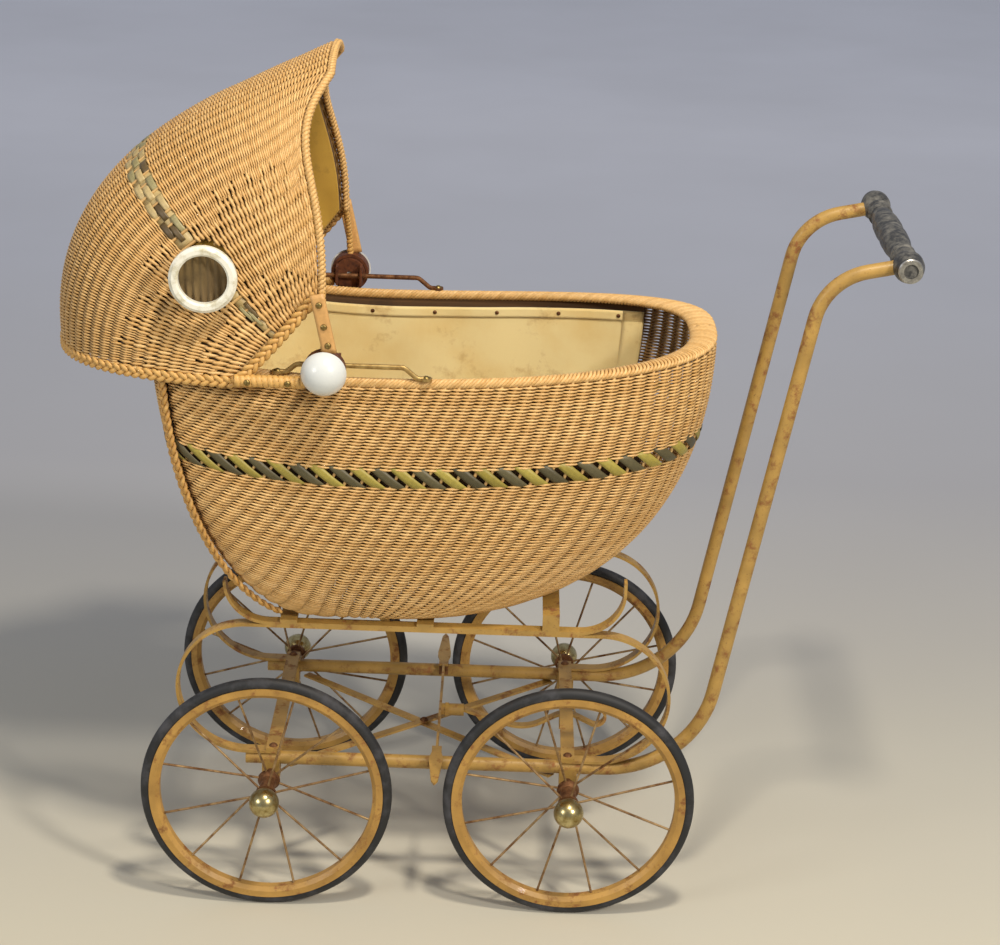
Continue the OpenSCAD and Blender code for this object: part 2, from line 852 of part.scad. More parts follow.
// Radius of the hood's middle line about the pivot, at angle b back from the upright face
function dome_r(b) = hood_r + peak_rise * pow(max(0, 1 - b / 24), 2)
    + belly * pow(sin(180 * max(0, b - 30) / 80), 2);
function arch_power(b) = 2.3 + 0.5 * b / 90;
function arch_half(b) = mixed(face_half, hood_half, b / 90);
// Where an arch starts, so that it ends on the slanted lower corner
function arch_start(b, t) =
    asin(pow(1 / (sin(b) / corner_out + cos(b) / corner_up) / (dome_r(b) - t), arch_power(b) / 2));
// Point of the hood: b as above, w the way over the arch from left to right, t in from the outside
function hood_point(b, w, t) =
    let (
        a0 = arch_start(b, t),
        a = mixed(a0, 180 - a0, w),
        p = 2 / arch_power(b),
        rise = (dome_r(b) - t) * pow(sin(a), p),
        up = pow(min(1, max(0, rise - corner_up) / 188), 2.35),
        scoop = (bow_d + touch + face_scoop * sin(180 * up)) * pow(max(0, 1 - b / 30), 2)
    )
    [pivot_x - rise * sin(b) - scoop, -(arch_half(b) - t) * spow(cos(a), p), edge_z + rise * cos(b)];

function hood_grid(t) = [for (k = [0 : hood_rows]) let (b = 90 * pow(k / hood_rows, 1.1))
    [for (j = [0 : arch_steps]) hood_point(b, j / arch_steps, t)]];

module port_hole(d) {
    translate([port_x, 0, port_z]) rotate([90, 0, 0]) cylinder(d = d, h = 2 * hood_w, center = true);
}

module hood_shell() {
    color("#d9a868")
        placed() difference() {
            thick_skin(hood_grid(0), hood_grid(hood_t));
            port_hole(porthole_bore);
        }
}

module hood_lining() {
    color("#b8962f")
        placed() difference() {
            thick_skin(hood_grid(hood_t + lining_gap), hood_grid(hood_t + lining_gap + cloth_t));
            port_hole(porthole_bore);
        }
}

// Wrapped rod round the face, with its two legs down in the cups
module face_bow() {
    leg_z = rod_z + cup_d / 2 - cup_wall + 0.5;
    ahead = [bow_d / 2 + touch, 0, 0];
    arch = [for (j = [0 : 24]) hood_point(0, j / 24, hood_t / 2) + ahead];
    leg = [[pivot_x, -bow_y, leg_z], [pivot_x - 1, -bow_y + 2, leg_z + 22]];
    color("#cf9a58")
        placed() swept(concat(leg, arch, [for (k = [1 : -1 : 0]) [leg[k][0], -leg[k][1], leg[k][2]]]),
            bow_d, 8);
}

// Wrapped sticks along the lower corners and flat battens up from the cups
module hood_arms() {
    front_x = pivot_x - corner_out;
    color("#d39c55")
        placed() both_sides() {
            translate([front_x, -stick_y, stick_z]) rotate([0, 90, 0])
                cylinder(d = stick_d, h = corner_out - cup_d / 2 + 1.5);
            translate([pivot_x - 8, -bow_y - bow_d / 2 - 3, rod_z + cup_d / 2])
                rotate([0, -7, 0]) cube([13, 2.6, 56]);
        }
}

// Plait round the hood's lower edge and up its slanted corners
module edge_braid() {
    slant = [for (k = [0 : 5]) let (w = k / 6)
        [pivot_x - corner_out * w - (bow_d + touch) * pow(1 - w, 2), -mixed(face_half, hood_half, w),
            edge_z + corner_up * (1 - w)]];
    level = [for (j = [0 : 24]) hood_point(90, j / 24, braid_in)];
    color("#d9a25c")
        placed() swept(concat(slant, level,
            [for (k = [5 : -1 : 0]) [slant[k][0], -slant[k][1], slant[k][2]]]), edge_d, 8);
}

module porthole_rings() {
    r = porthole_d / 2;
    bore = porthole_bore / 2;
    face = -hood_half - 3;
    color("#e8e6d2")
        placed() both_sides() translate([port_x, face, port_z])
            turned([[bore, 0], [bore + 2, -1.5], [r - 3, -1.5], [r, 1], [r, 6], [bore, 6]]);
}

// ---------------------------------------------------------------- assembly

for (c = CORNERS)
    for (p = WHEEL_PARTS)
        at_wheel(c) wheel_part(p);
left_push_tube();
right_push_tube();
grip();
grip_ferrules();
left_c_spring();
right_c_spring();
left_cradle_strap();
right_cradle_strap();
cross_slats();
front_axle();
rear_axle();
front_axle_bed();
rear_axle_bed();
axle_saddles();
brace_straps();
chassis_bolts();
brake_bar();
brake_guides();
brake_knuckle();
brake_lever();
tub_shell();
tub_rim();
tub_floor();
corner_braids();
tub_lining();
left_slide_rod();
right_slide_rod();
rod_screws();
left_rod_clamp();
right_rod_clamp();
hood_shell();
face_bow();
hood_arms();
edge_braid();
porthole_rings();
hood_lining();
left_cup();
right_cup();
left_knob();
right_knob();
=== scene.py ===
"""Wicker doll carriage: twined wicker, plaits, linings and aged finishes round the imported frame.

Lengths are millimetres in the layout of the part's own design, where the front axle is at x = 0,
until metres() turns them into the frame's metres. Angles on the tub and the hood are degrees.
"""
import math
import bpy
import numpy as np
from mathutils import Matrix, Vector


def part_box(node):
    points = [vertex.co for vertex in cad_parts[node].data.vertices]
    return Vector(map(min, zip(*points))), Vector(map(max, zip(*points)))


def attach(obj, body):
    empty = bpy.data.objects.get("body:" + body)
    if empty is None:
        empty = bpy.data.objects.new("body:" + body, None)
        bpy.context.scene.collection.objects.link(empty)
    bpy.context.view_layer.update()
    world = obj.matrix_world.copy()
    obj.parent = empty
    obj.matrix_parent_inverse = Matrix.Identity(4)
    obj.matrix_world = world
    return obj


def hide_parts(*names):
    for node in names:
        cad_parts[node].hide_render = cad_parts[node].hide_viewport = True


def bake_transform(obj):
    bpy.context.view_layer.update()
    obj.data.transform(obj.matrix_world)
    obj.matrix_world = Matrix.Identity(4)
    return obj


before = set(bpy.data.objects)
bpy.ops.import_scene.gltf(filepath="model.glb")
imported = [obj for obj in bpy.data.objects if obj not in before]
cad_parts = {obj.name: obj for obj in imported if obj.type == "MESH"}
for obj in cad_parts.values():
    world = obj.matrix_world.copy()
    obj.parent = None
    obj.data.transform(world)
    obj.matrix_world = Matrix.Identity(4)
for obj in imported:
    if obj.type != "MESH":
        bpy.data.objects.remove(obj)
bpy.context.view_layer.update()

MM = 0.001


def middle(node):
    """Middle of a node's box, in millimetres."""
    low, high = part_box(node)
    return [(a + b) / 2 / MM for a, b in zip(low, high)]


AXLE_X = middle("front_axle")[0]
rng = np.random.default_rng(7)


def metres(points):
    """Layout points in the frame's metres."""
    return (np.asarray(points, float) + [AXLE_X, 0, 0]) * MM


# ---------------------------------------------------------------- camera

CAMERA_AT = (226.2, -2266.8, 1288.5)
PITCH, YAW, ROLL = (math.radians(a) for a in (20.976, 0.037, 1.952))
LENS = 84.96

camera = bpy.data.objects.new("camera", bpy.data.cameras.new("camera"))
bpy.context.scene.collection.objects.link(camera)
bpy.context.scene.camera = camera
camera.data.lens = LENS
camera.data.sensor_width = 36
camera.data.clip_end = 50
turn = Matrix.Rotation(YAW, 3, "Z") @ Matrix.Rotation(-PITCH, 3, "X")
ahead, right, up = turn @ Vector((0, 1, 0)), turn @ Vector((1, 0, 0)), turn @ Vector((0, 0, 1))
tilted_right = right * math.cos(ROLL) + up * math.sin(ROLL)
tilted_up = up * math.cos(ROLL) - right * math.sin(ROLL)
camera.matrix_world = Matrix.Translation(metres(CAMERA_AT)) @ Matrix(
    (tilted_right, tilted_up, -ahead)).transposed().to_4x4()

# ---------------------------------------------------------------- materials


def colour(text):
    """sRGB hex to linear RGBA."""
    parts = [int(text[i:i + 2], 16) / 255 for i in (1, 3, 5)]
    return [c / 12.92 if c <= 0.04045 else ((c + 0.055) / 1.055) ** 2.4 for c in parts] + [1]


def add(tree, kind, inputs=None, stops=(), **settings):
    """Adds a node with its properties and (place, colour or grey) stops, and fills or links its inputs."""
    node = tree.nodes.new(kind)
    for key, value in settings.items():
        setattr(node, key, value)
    for key, value in (inputs or {}).items():
        if isinstance(value, bpy.types.NodeSocket):
            tree.links.new(value, node.inputs[key])
        else:
            node.inputs[key].default_value = colour(value) if isinstance(value, str) else value
    points = node.color_ramp.elements if stops else ()
    while len(points) < len(stops):
        points.new(0.5)
    for point, (where, value) in zip(points, stops):
        point.position = where
        point.color = colour(value) if isinstance(value, str) else [value] * 3 + [1]
    return node


AMOUNT, UNDER, OVERLAY, MIXED = 0, 6, 7, 2  # sockets of a Mix node that mixes colours


def start(name, **fixed):
    """A new material with its shader, and the place on the piece in its own metres."""
    mat = bpy.data.materials.new(name)
    mat.use_nodes = True
    tree = mat.node_tree
    tree.nodes.clear()
    shader = add(tree, "ShaderNodeBsdfPrincipled", {key.replace("_", " "): v for key, v in fixed.items()})
    add(tree, "ShaderNodeOutputMaterial", {"Surface": shader.outputs[0]})
    place = add(tree, "ShaderNodeTexCoord").outputs["Object"]
    return mat, tree, shader, place


def patches(tree, place, size_mm, stops=(), detail=4, roughness=0.55):
    """Irregular patches of a real size: a plain level, or the colours or greys of (level, value) stops."""
    level = add(tree, "ShaderNodeTexNoise", {"Vector": place, "Scale": 1 / (size_mm * MM), "Detail": detail,
                                             "Roughness": roughness}).outputs["Fac"]
    return add(tree, "ShaderNodeValToRGB", {"Fac": level}, stops).outputs["Color"] if stops else level


def dress(tree, shader, tint, relief, depth_mm, rough=None):
    """Gives the shader its colour, its relief of a real depth and, where it varies, its roughness."""
    raised = add(tree, "ShaderNodeBump", {"Height": relief, "Strength": 0.6, "Distance": depth_mm * MM})
    tree.links.new(tint, shader.inputs["Base Color"])
    tree.links.new(raised.outputs[0], shader.inputs["Normal"])
    if rough:
        tree.links.new(rough, shader.inputs["Roughness"])


def reed(name, pale, deep, shade, woven=True):
    """Varnished reed: satin, each strand with its own tint, with painted shade where it dives into the weave.
    """
    mat, tree, shader, place = start(name, Roughness=0.5, Coat_Weight=0.12, Coat_Roughness=0.35)
    strand_of = add(tree, "ShaderNodeNewGeometry").outputs["Random Per Island"]
    tint = add(tree, "ShaderNodeValToRGB", {"Fac": strand_of}, [(0, deep), (0.5, pale), (1, deep)]).outputs[0]
    soil = patches(tree, place, 90, [(0.35, 0.0), (0.75, 0.45)])
    tint = add(tree, "ShaderNodeMix", {AMOUNT: soil, UNDER: tint, OVERLAY: deep},
               data_type="RGBA").outputs[MIXED]
    grain = patches(tree, place, 3, [(0.3, 0.0), (0.8, 0.35)], detail=3)
    tint = add(tree, "ShaderNodeMix", {AMOUNT: grain, UNDER: tint, OVERLAY: shade},
               data_type="RGBA").outputs[MIXED]
    if woven:
        # Painted shade: the strand turns towards the shade colour where its depth says it goes behind the
        # stakes
        depth = add(tree, "ShaderNodeAttribute", attribute_name="depth").outputs["Fac"]
        painted_dive_shade = add(tree, "ShaderNodeValToRGB", {"Fac": depth}, [(0.1, 1.0), (0.7, 0.0)]).outputs[0]
        tint = add(tree, "ShaderNodeMix", {AMOUNT: painted_dive_shade, UNDER: tint, OVERLAY: shade},
                   data_type="RGBA").outputs[MIXED]
    dress(tree, shader, tint, patches(tree, place, 1.2, detail=2), 0.15)
    return mat


THREAD_GAP = 0.9  # mm between threads of the plain weave, coarser than real so that it shows
WAVE = 2 * math.pi / 20  # length of one band of Blender's wave pattern at scale 1


def cotton(name, clean, yellowed, stain_and_shade):
    """Old cotton cloth in plain weave: matt with a faint sheen, yellowed in clouds, with water stains and
    painted shade between the threads.
    """
    mat, tree, shader, place = start(name, Roughness=0.9, Sheen_Weight=0.25, Sheen_Roughness=0.5)
    faded = patches(tree, place, 110, [(0.3, yellowed), (0.6, clean)], detail=6)
    marks = patches(tree, place, 45, [(0.54, 0.0), (0.74, 0.7)], detail=8, roughness=0.7)
    dirty = add(tree, "ShaderNodeMix", {AMOUNT: marks, UNDER: faded, OVERLAY: stain_and_shade},
                data_type="RGBA").outputs[MIXED]
    weave = []
    for direction in ("X", "Z"):
        weave.append(add(tree, "ShaderNodeTexWave", {"Vector": place, "Scale": WAVE / (THREAD_GAP * MM),
                                                     "Distortion": 1.5, "Detail Scale": 2.0},
                         wave_type="BANDS", bands_direction=direction).outputs["Fac"])
    threads = add(tree, "ShaderNodeMath", {0: weave[0], 1: weave[1]}, operation="ADD").outputs[0]
    # Painted shade: darker towards the stain colour in the gaps between the threads
    painted_thread_shade = add(tree, "ShaderNodeValToRGB", {"Fac": threads}, [(0.2, 0.16), (0.9, 0.0)]).outputs[0]
    tint = add(tree, "ShaderNodeMix", {AMOUNT: painted_thread_shade, UNDER: dirty, OVERLAY: stain_and_shade},
               data_type="RGBA").outputs[MIXED]
    dress(tree, shader, tint, threads, 0.25)
    return mat


def old_paint(name, paint, faded, rust, cover):
    """Brushed enamel worn through to rust: low gloss on the paint, dull and rough where cover, 0 to 1,
    says how far the rust has spread."""
    mat, tree, shader, place = start(name, Metallic=0.0, Coat_Weight=0.05)
    base = patches(tree, place, 30, [(0.3, paint), (0.7, faded)], detail=5)
    edge = 0.72 - 0.34 * cover
    worn = patches(tree, place, 16, [(edge - 0.05, 0.0), (edge + 0.07, 1.0)], detail=9, roughness=0.7)
    speck = patches(tree, place, 2.2, [(0.62, 0.0), (0.7, 0.85)], roughness=0.7)
    brown = patches(tree, place, 4, [(0.3, rust), (0.75, "#8f5a2c")], detail=6)
    tint = add(tree, "ShaderNodeMix", {AMOUNT: worn, UNDER: base, OVERLAY: brown},
               data_type="RGBA").outputs[MIXED]
    tint = add(tree, "ShaderNodeMix", {AMOUNT: speck, UNDER: tint, OVERLAY: rust},
               data_type="RGBA").outputs[MIXED]
    rough = add(tree, "ShaderNodeValToRGB", {"Fac": worn}, [(0, 0.45), (1, 0.85)]).outputs[0]
    pits = add(tree, "ShaderNodeMath", {0: worn, 1: speck}, operation="ADD").outputs[0]
    dress(tree, shader, tint, pits, 0.25, rough)
    return mat


def bare_metal(name, bright, dull, rough_low, rough_high, grit_mm, metallic=1.0):
    """Uncoated metal: bright where it is rubbed, dull and rough in tarnished or rusted patches."""
    mat, tree, shader, place = start(name, Metallic=metallic)
    tint = patches(tree, place, grit_mm, [(0.35, bright), (0.65, dull)], detail=7, roughness=0.65)
    rough = patches(tree, place, grit_mm, [(0.35, rough_low), (0.7, rough_high)], detail=7, roughness=0.65)
    dress(tree, shader, tint, patches(tree, place, grit_mm / 3), 0.12, rough)
    return mat


def smooth_coat(name, clean, dirty, rough, grit_mm, spread=0.6, gloss=0.0):
    """Moulded, painted or glazed surface: even and smooth, duller in patches of dust and wear."""
    mat, tree, shader, place = start(name, Coat_Weight=gloss, Coat_Roughness=0.15)
    dust = patches(tree, place, grit_mm, [(spread - 0.12, 0.0), (spread + 0.1, 1.0)], 8, 0.65)
    tint = add(tree, "ShaderNodeMix", {AMOUNT: dust, UNDER: clean, OVERLAY: dirty},
               data_type="RGBA").outputs[MIXED]
    matt = add(tree, "ShaderNodeValToRGB", {"Fac": dust}, [(0, rough), (1, min(1, rough + 0.25))]).outputs[0]
    dress(tree, shader, tint, patches(tree, place, grit_mm / 6, detail=3), 0.08, matt)
    return mat


# Round reed and cane under old shellac: honey coloured, satin
REED = reed("varnished_reed", "#efc684", "#d4a662", "#6a4a1e")
STAKE = reed("stake_reed", "#dcb878", "#cba062", "#855c28")
CANE = reed("plaited_cane", "#e2b468", "#c9964a", "#74501f")
# Reed and ash splint dyed before weaving: olive and brown under the same varnish
OLIVE = reed("olive_stained_reed", "#b0a148", "#938432", "#544a1c")
DARK = reed("dark_stained_reed", "#625a3a", "#4a4328", "#2a2414")
SPLINT = reed("plain_splint", "#cdb680", "#b39c66", "#665230")
GREY_SPLINT = reed("olive_grey_splint", "#aca274", "#938858", "#5a4f2c")
BROWN_SPLINT = reed("brown_splint", "#6e5a34", "#564424", "#2e2210")
# Reed inside a winding, which is in shadow between the turns
CORE = reed("shadowed_core", "#7a5228", "#5e3d1c", "#2c1a0a")
# Dark sheet behind the weave, made as cotton: painted shade that shows in the gaps between the strands.
# Cotton: cream where it is clean, and ochre where it has yellowed most
WEAVE_SHADE = cotton("painted_weave_shade", "#5a3e1e", "#4a3218", "#2e1e0e")
LINING = cotton("unbleached_cotton", "#fbe7a8", "#ecca7c", "#b07e36")
HOOD_CLOTH = cotton("yellowed_cotton", "#c9a03c", "#a8811f", "#6a4a12")
CURTAIN = cotton("porthole_curtain", "#8c7648", "#6a5330", "#35260f")
# Ochre enamel brushed on steel: flat colour, with rust coming through in patches and specks
OCHRE = old_paint("ochre_enamel", "#b8924a", "#98783c", "#6a4624", 0.42)
RIM_PAINT = old_paint("rim_enamel", "#bd9248", "#9c7638", "#6a4420", 0.4)
# Drawn wire and steel: brown with rust, a little metal still showing
SPOKE_WIRE = bare_metal("rusted_spoke_wire", "#b09468", "#6a4626", 0.4, 0.8, 14, 0.6)
RUST = bare_metal("rusted_steel", "#8a6240", "#54321c", 0.5, 0.85, 7, 0.7)
# Nickel plate over brass: still shiny, yellow where the plate is thin
NICKEL = bare_metal("tarnished_nickel", "#c8bc8c", "#86713e", 0.18, 0.5, 8)
# Moulded rubber: near black and dull, grey with dust
TYRE = smooth_coat("worn_rubber", "#1d1e20", "#46464a", 0.6, 26)
# Turned beech stained black: soft gloss, grey where hands have worn it
GRIP_WOOD = smooth_coat("ebonised_beech", "#2a2b2c", "#6e6c66", 0.5, 10, 0.55, 0.1)
# Turned steel: bright and softly brushed
STEEL = bare_metal("brushed_steel_cap", "#c9c8c4", "#8d8a84", 0.25, 0.5, 6)
# Stove enamel: white or cream, glossy, with grime in patches
KNOB = smooth_coat("white_enamel_knob", "#d6dad8", "#bcc4c4", 0.3, 16, 0.7, 0.3)
RING = smooth_coat("cream_enamel_ring", "#eceadb", "#b9b08c", 0.32, 12, 0.62, 0.3)
# Cast iron, rusted red brown all over: dull
CUP_IRON = bare_metal("rust_brown_iron", "#7c4a2e", "#4a2818", 0.5, 0.8, 6, 0.4)
# Sawn deal, never varnished: dry and matt
BOARD = smooth_coat("dry_deal_board", "#9c8458", "#6d5736", 0.8, 30)
# Brass wash on a steel rod, rubbed by the clamp: dull gold
BRIGHT_ROD = bare_metal("worn_brassed_rod", "#c0a468", "#8a6c3a", 0.35, 0.6, 8, 0.7)
# Planed batten under the same varnish as the reed
BATTEN = reed("varnished_batten", "#dcae6c", "#c28e50", "#8a602c", woven=False)
# Turned brass: dull, brown in the slots
BRASS = bare_metal("dull_brass_screw", "#a8935c", "#6e5a32", 0.35, 0.6, 3)

FINISHES = {"_tyre": TYRE, "_rim": RIM_PAINT, "_spokes": SPOKE_WIRE, "_hub": RUST, "_hub_cap": NICKEL,
            "_push_tube": OCHRE, "_cradle_strap": OCHRE, "_slide_rod": RUST, "left_slide_rod": BRIGHT_ROD,
            "_rod_clamp": CUP_IRON, "_cup": CUP_IRON, "_knob": KNOB, "grip": GRIP_WOOD,
            "grip_ferrules": STEEL, "cross_slats": OCHRE, "_axle": RUST, "_axle_bed": OCHRE,
            "axle_saddles": OCHRE, "brace_straps": OCHRE, "chassis_bolts": RUST, "brake_bar": OCHRE,
            "brake_guides": RUST, "brake_knuckle": OCHRE, "brake_lever": OCHRE, "tub_floor": BOARD,
            "rod_screws": BRASS, "hood_arms": BATTEN, "porthole_rings": RING}
for name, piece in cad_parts.items():
    ends = [end for end in FINISHES if name.endswith(end)]
    if ends:
        for part_slot in piece.material_slots:
            part_slot.material = FINISHES[max(ends, key=len)]

# ---------------------------------------------------------------- meshes


def make(name, verts, quads, material, body, depth=None, replaces=()):
    """A smooth quad mesh from layout points that rides on a body."""
    mesh = bpy.data.meshes.new(name)
    verts, quads = metres(verts), np.asarray(quads, np.int32)
    mesh.vertices.add(len(verts))
    mesh.vertices.foreach_set("co", verts.astype(np.float32).ravel())
    mesh.loops.add(quads.size)
    mesh.loops.foreach_set("vertex_index", quads.ravel())
    mesh.polygons.add(len(quads))
    mesh.polygons.foreach_set("loop_start", np.arange(0, quads.size, 4, dtype=np.int32))
    mesh.update(calc_edges=True)
    mesh.polygons.foreach_set("use_smooth", np.ones(len(quads), bool))
    # How far forward each point of a strand lies, 1 at the front: the reed materials paint shade where it is
    # low
    shade = mesh.attributes.new("depth", "FLOAT", "POINT")
    shade.data.foreach_set("value", np.full(len(verts), 1.0) if depth is None else depth)
    mesh.materials.append(material)
    piece = bpy.data.objects.new(name, mesh)
    bpy.context.scene.collection.objects.link(piece)
    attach(piece, body)
    if replaces:
        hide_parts(*replaces)
    return piece


def unit(v):
    """Directions of length one."""
    return v / np.maximum(np.linalg.norm(v, axis=-1, keepdims=True), 1e-9)


def strand(points, out, deep, high=None, depth=None):
    """One reed: its middle line, the outward direction along it, and its half sizes."""
    n = len(points)
    high = deep if high is None else high
    return (points, out, np.broadcast_to(deep, n), np.broadcast_to(high, n),
            np.ones(n) if depth is None else depth)


def tubes(name, strands, sides, material, body, replaces=()):
    """One mesh of closed tubes of oval section, one tube for each strand."""
    angle = 2 * np.pi * np.arange(sides) / sides
    verts, quads, shades, base = [], [], [], 0
    k = np.arange(sides)
    for points, out, deep, high, depth in strands:
        n = len(points)
        along = unit(np.gradient(points, axis=0))
        side = unit(np.cross(along, out))
        face = np.cross(side, along)
        ring = (points[:, None] + (deep[:, None] * np.cos(angle))[..., None] * face[:, None]
                + (high[:, None] * np.sin(angle))[..., None] * side[:, None])
        verts.append(ring.reshape(-1, 3))
        shades.append(np.repeat(depth, sides))
        i = base + sides * np.arange(n - 1)[:, None]
        quads.append(np.stack([i + k, i + (k + 1) % sides, i + sides + (k + 1) % sides, i + sides + k],
                              axis=-1).reshape(-1, 4))
        cap = np.array([[j, j + 1, sides - 2 - j, sides - 1 - j] for j in range(sides // 2 - 1)])
        quads.append(base + cap[:, ::-1])
        quads.append(base + sides * (n - 1) + cap)
        base += sides * n
    return make(name, np.concatenate(verts), np.concatenate(quads), material, body,
                np.concatenate(shades), replaces)


def slab(grid, out, thick):
    """Vertices and quads of a closed thin sheet whose outer face is the grid."""
    n, m = grid.shape[:2]
    verts = np.concatenate([grid.reshape(-1, 3), (grid - out * thick).reshape(-1, 3)])
    index = np.arange(n * m).reshape(n, m)
    face = np.stack([index[:-1, :-1], index[1:, :-1], index[1:, 1:], index[:-1, 1:]], axis=-1).reshape(-1, 4)
    edge = np.concatenate([index[:, 0], index[-1, 1:], index[-2::-1, -1], index[0, -2:0:-1], index[:1, 0]])
    wall = np.stack([edge[:-1], edge[:-1] + n * m, edge[1:] + n * m, edge[1:]], axis=-1)
    return verts, np.concatenate([face, face[:, ::-1] + n * m, wall])


def slabs(name, parts, material, body, replaces=()):
    """One mesh of several thin sheets. Each part is (grid, outward directions, thickness)."""
    verts, quads, base = [], [], 0
    for part in parts:
        v, q = slab(*part)
        if np.sum(np.cross(v[q[0, 1]] - v[q[0, 0]], v[q[0, 3]] - v[q[0, 0]]) * part[1][0, 0]) < 0:
            q = q[:, ::-1]
        verts.append(v)
        quads.append(q + base)
        base += len(v)
    return make(name, np.concatenate(verts), np.concatenate(quads), material, body, replaces=replaces)


def runs(keep):
    """Start and end of each stretch of at least three kept points."""
    edges = np.flatnonzero(np.diff(np.concatenate([[0], keep.astype(int), [0]])))
    return [(a, b) for a, b in zip(edges[::2], edges[1::2]) if b - a >= 3]


def resample(path, step):
    """Evenly spaced points along a path, and the distance of each from its start."""
    path = np.asarray(path, float)
    far = np.concatenate([[0], np.cumsum(np.linalg.norm(np.diff(path, axis=0), axis=1))])
    at = np.linspace(0, far[-1], max(3, int(far[-1] / step) + 1))
    return np.stack([np.interp(at, far, path[:, c]) for c in range(3)], axis=-1), at


class Surface:
    """Points over an even grid of (u, v), and the outward direction, both read between grid lines."""

    def __init__(self, us, vs, points, flip):
        self.us, self.vs, self.points = us, vs, points
        out = np.cross(np.gradient(points, axis=1), np.gradient(points, axis=0))
        self.out = unit(-out if flip else out)

    def at(self, u, v):
        i = np.clip((u - self.us[0]) / (self.us[1] - self.us[0]), 0, len(self.us) - 1.001)
        j = np.clip((v - self.vs[0]) / (self.vs[1] - self.vs[0]), 0, len(self.vs) - 1.001)
        a, b = i.astype(int), j.astype(int)
        f, g = (i - a)[..., None], (j - b)[..., None]
        return [(t[a, b] * (1 - f) + t[a + 1, b] * f) * (1 - g)
                + (t[a, b + 1] * (1 - f) + t[a + 1, b + 1] * f) * g for t in (self.points, self.out)]


ROW = 3.3         # height of a twined row
STAKE_GAP = 13.5  # distance between stakes
DIVE = 1.7        # how far a strand goes before and behind the stakes
STEP = 0.35       # how far a strand goes above and below its row's middle


def height_of(turn_at):
    """Half height of a strand, which is fullest where it goes over a stake."""
    return 0.82 + 0.68 * np.cos(turn_at) ** 2


def twined(surface, u, v, stakes, size=1.0, keep=None):
    """The two strands of one row, which change places between each stake and the next."""
    rows = []
    size = np.broadcast_to(size, u.shape)
    for phase in (0, math.pi):
        turn_at = np.pi * stakes + phase
        points, out = surface.at(u, v + STEP * size * np.sin(turn_at))
        points = points + out * (DIVE * size * np.cos(turn_at))[:, None]
        depth = 0.5 + 0.5 * np.cos(turn_at)
        high = height_of(turn_at) * size
        for a, b in runs(np.ones(len(u), bool) if keep is None else keep):
            rows.append(strand(points[a:b], out[a:b], 0.9 * size[a:b], high[a:b], depth[a:b]))
    return rows


def plait(path, out, width, step_mm=26):
    """Flat plait of three strands along a path."""
    points, far = resample(path, 2.4)
    out = unit(np.stack([np.interp(np.linspace(0, 1, len(points)), np.linspace(0, 1, len(out)), out[:, c])
                         for c in range(3)], axis=-1))
    across = unit(np.cross(out, np.gradient(points, axis=0)))
    half = width / 6
    found = []
    for k in range(3):
        phase = 2 * np.pi * (far / step_mm + k / 3)
        sway = across * ((width / 2 - half) * np.sin(phase))[:, None]
        shift = sway + out * (1.5 * np.sin(2 * phase))[:, None]
        found.append(strand(points + shift, out, 1.7, half * 1.15, 0.65 + 0.35 * np.sin(2 * phase)))
    return found


# ---------------------------------------------------------------- tub

TUB_Z, RIM_H = 298.0, 562.0
TUB_FRONT, TUB_MID, TUB_REAR = -117.0, 100.0, 437.0
TUB_HALF, FLOOR_FRONT, FLOOR_REAR, FLOOR_HALF = 152.0, 40.0, 190.0, 104.0
RISE_FRONT, RISE_REAR = 24.0, 20.0
WALL = 5.0
CORNER = 132.0
BAND_TOP, BAND_LOW = 88.0, 106.0
FRONT_POWER, REAR_POWER = 9, 2.9  # how square the plan is at each end


def spow(v, p):
    """Power that keeps the sign."""
    return np.sign(v) * np.abs(v) ** p


def cosd(a):
    return np.cos(np.radians(a))


def sind(a):
    return np.sin(np.radians(a))


def rim_z(x):
    """Height of the rim, which rises towards both ends."""
    front = RISE_FRONT * (np.maximum(TUB_MID - x, 0) / (TUB_MID - TUB_FRONT)) ** 2
    rear = RISE_REAR * (np.maximum(x - TUB_MID, 0) / (TUB_REAR - TUB_MID)) ** 1.8
    return RIM_H + front + rear


def tub_point(a, s, t):
    """Point of the tub's wall: a is the plan angle from the foot end, s the way up, t the way in."""
    a, s = np.broadcast_arrays(np.asarray(a, float), np.asarray(s, float))
    n = 2.2 - 0.45 * np.maximum(0, -cosd(a))
    w = sind(90 * s) ** (2 / n)
    rise = 1 - np.maximum(cosd(90 * s), 0) ** (2 / n)
    long = np.where(cosd(a) < 0, TUB_MID - (FLOOR_FRONT + (TUB_FRONT - FLOOR_FRONT) * w),
                    FLOOR_REAR + (TUB_REAR - FLOOR_REAR) * w - TUB_MID) - t
    wide = FLOOR_HALF + (TUB_HALF - FLOOR_HALF) * w - t
    p = 2 / np.where(cosd(a) < 0, FRONT_POWER, REAR_POWER)
    x = TUB_MID + long * spow(cosd(a), p)
    low = TUB_Z + t
    return np.stack([x, wide * spow(sind(a), p), low + (rim_z(x) - low) * rise], axis=-1)


near_flat = np.geomspace(1e-10, 5, 300)
ROUND_ANGLES = np.unique(np.concatenate([np.linspace(0, 360, 2881), 90 + near_flat, 270 - near_flat,
                                         180 - near_flat, 180 + near_flat]))


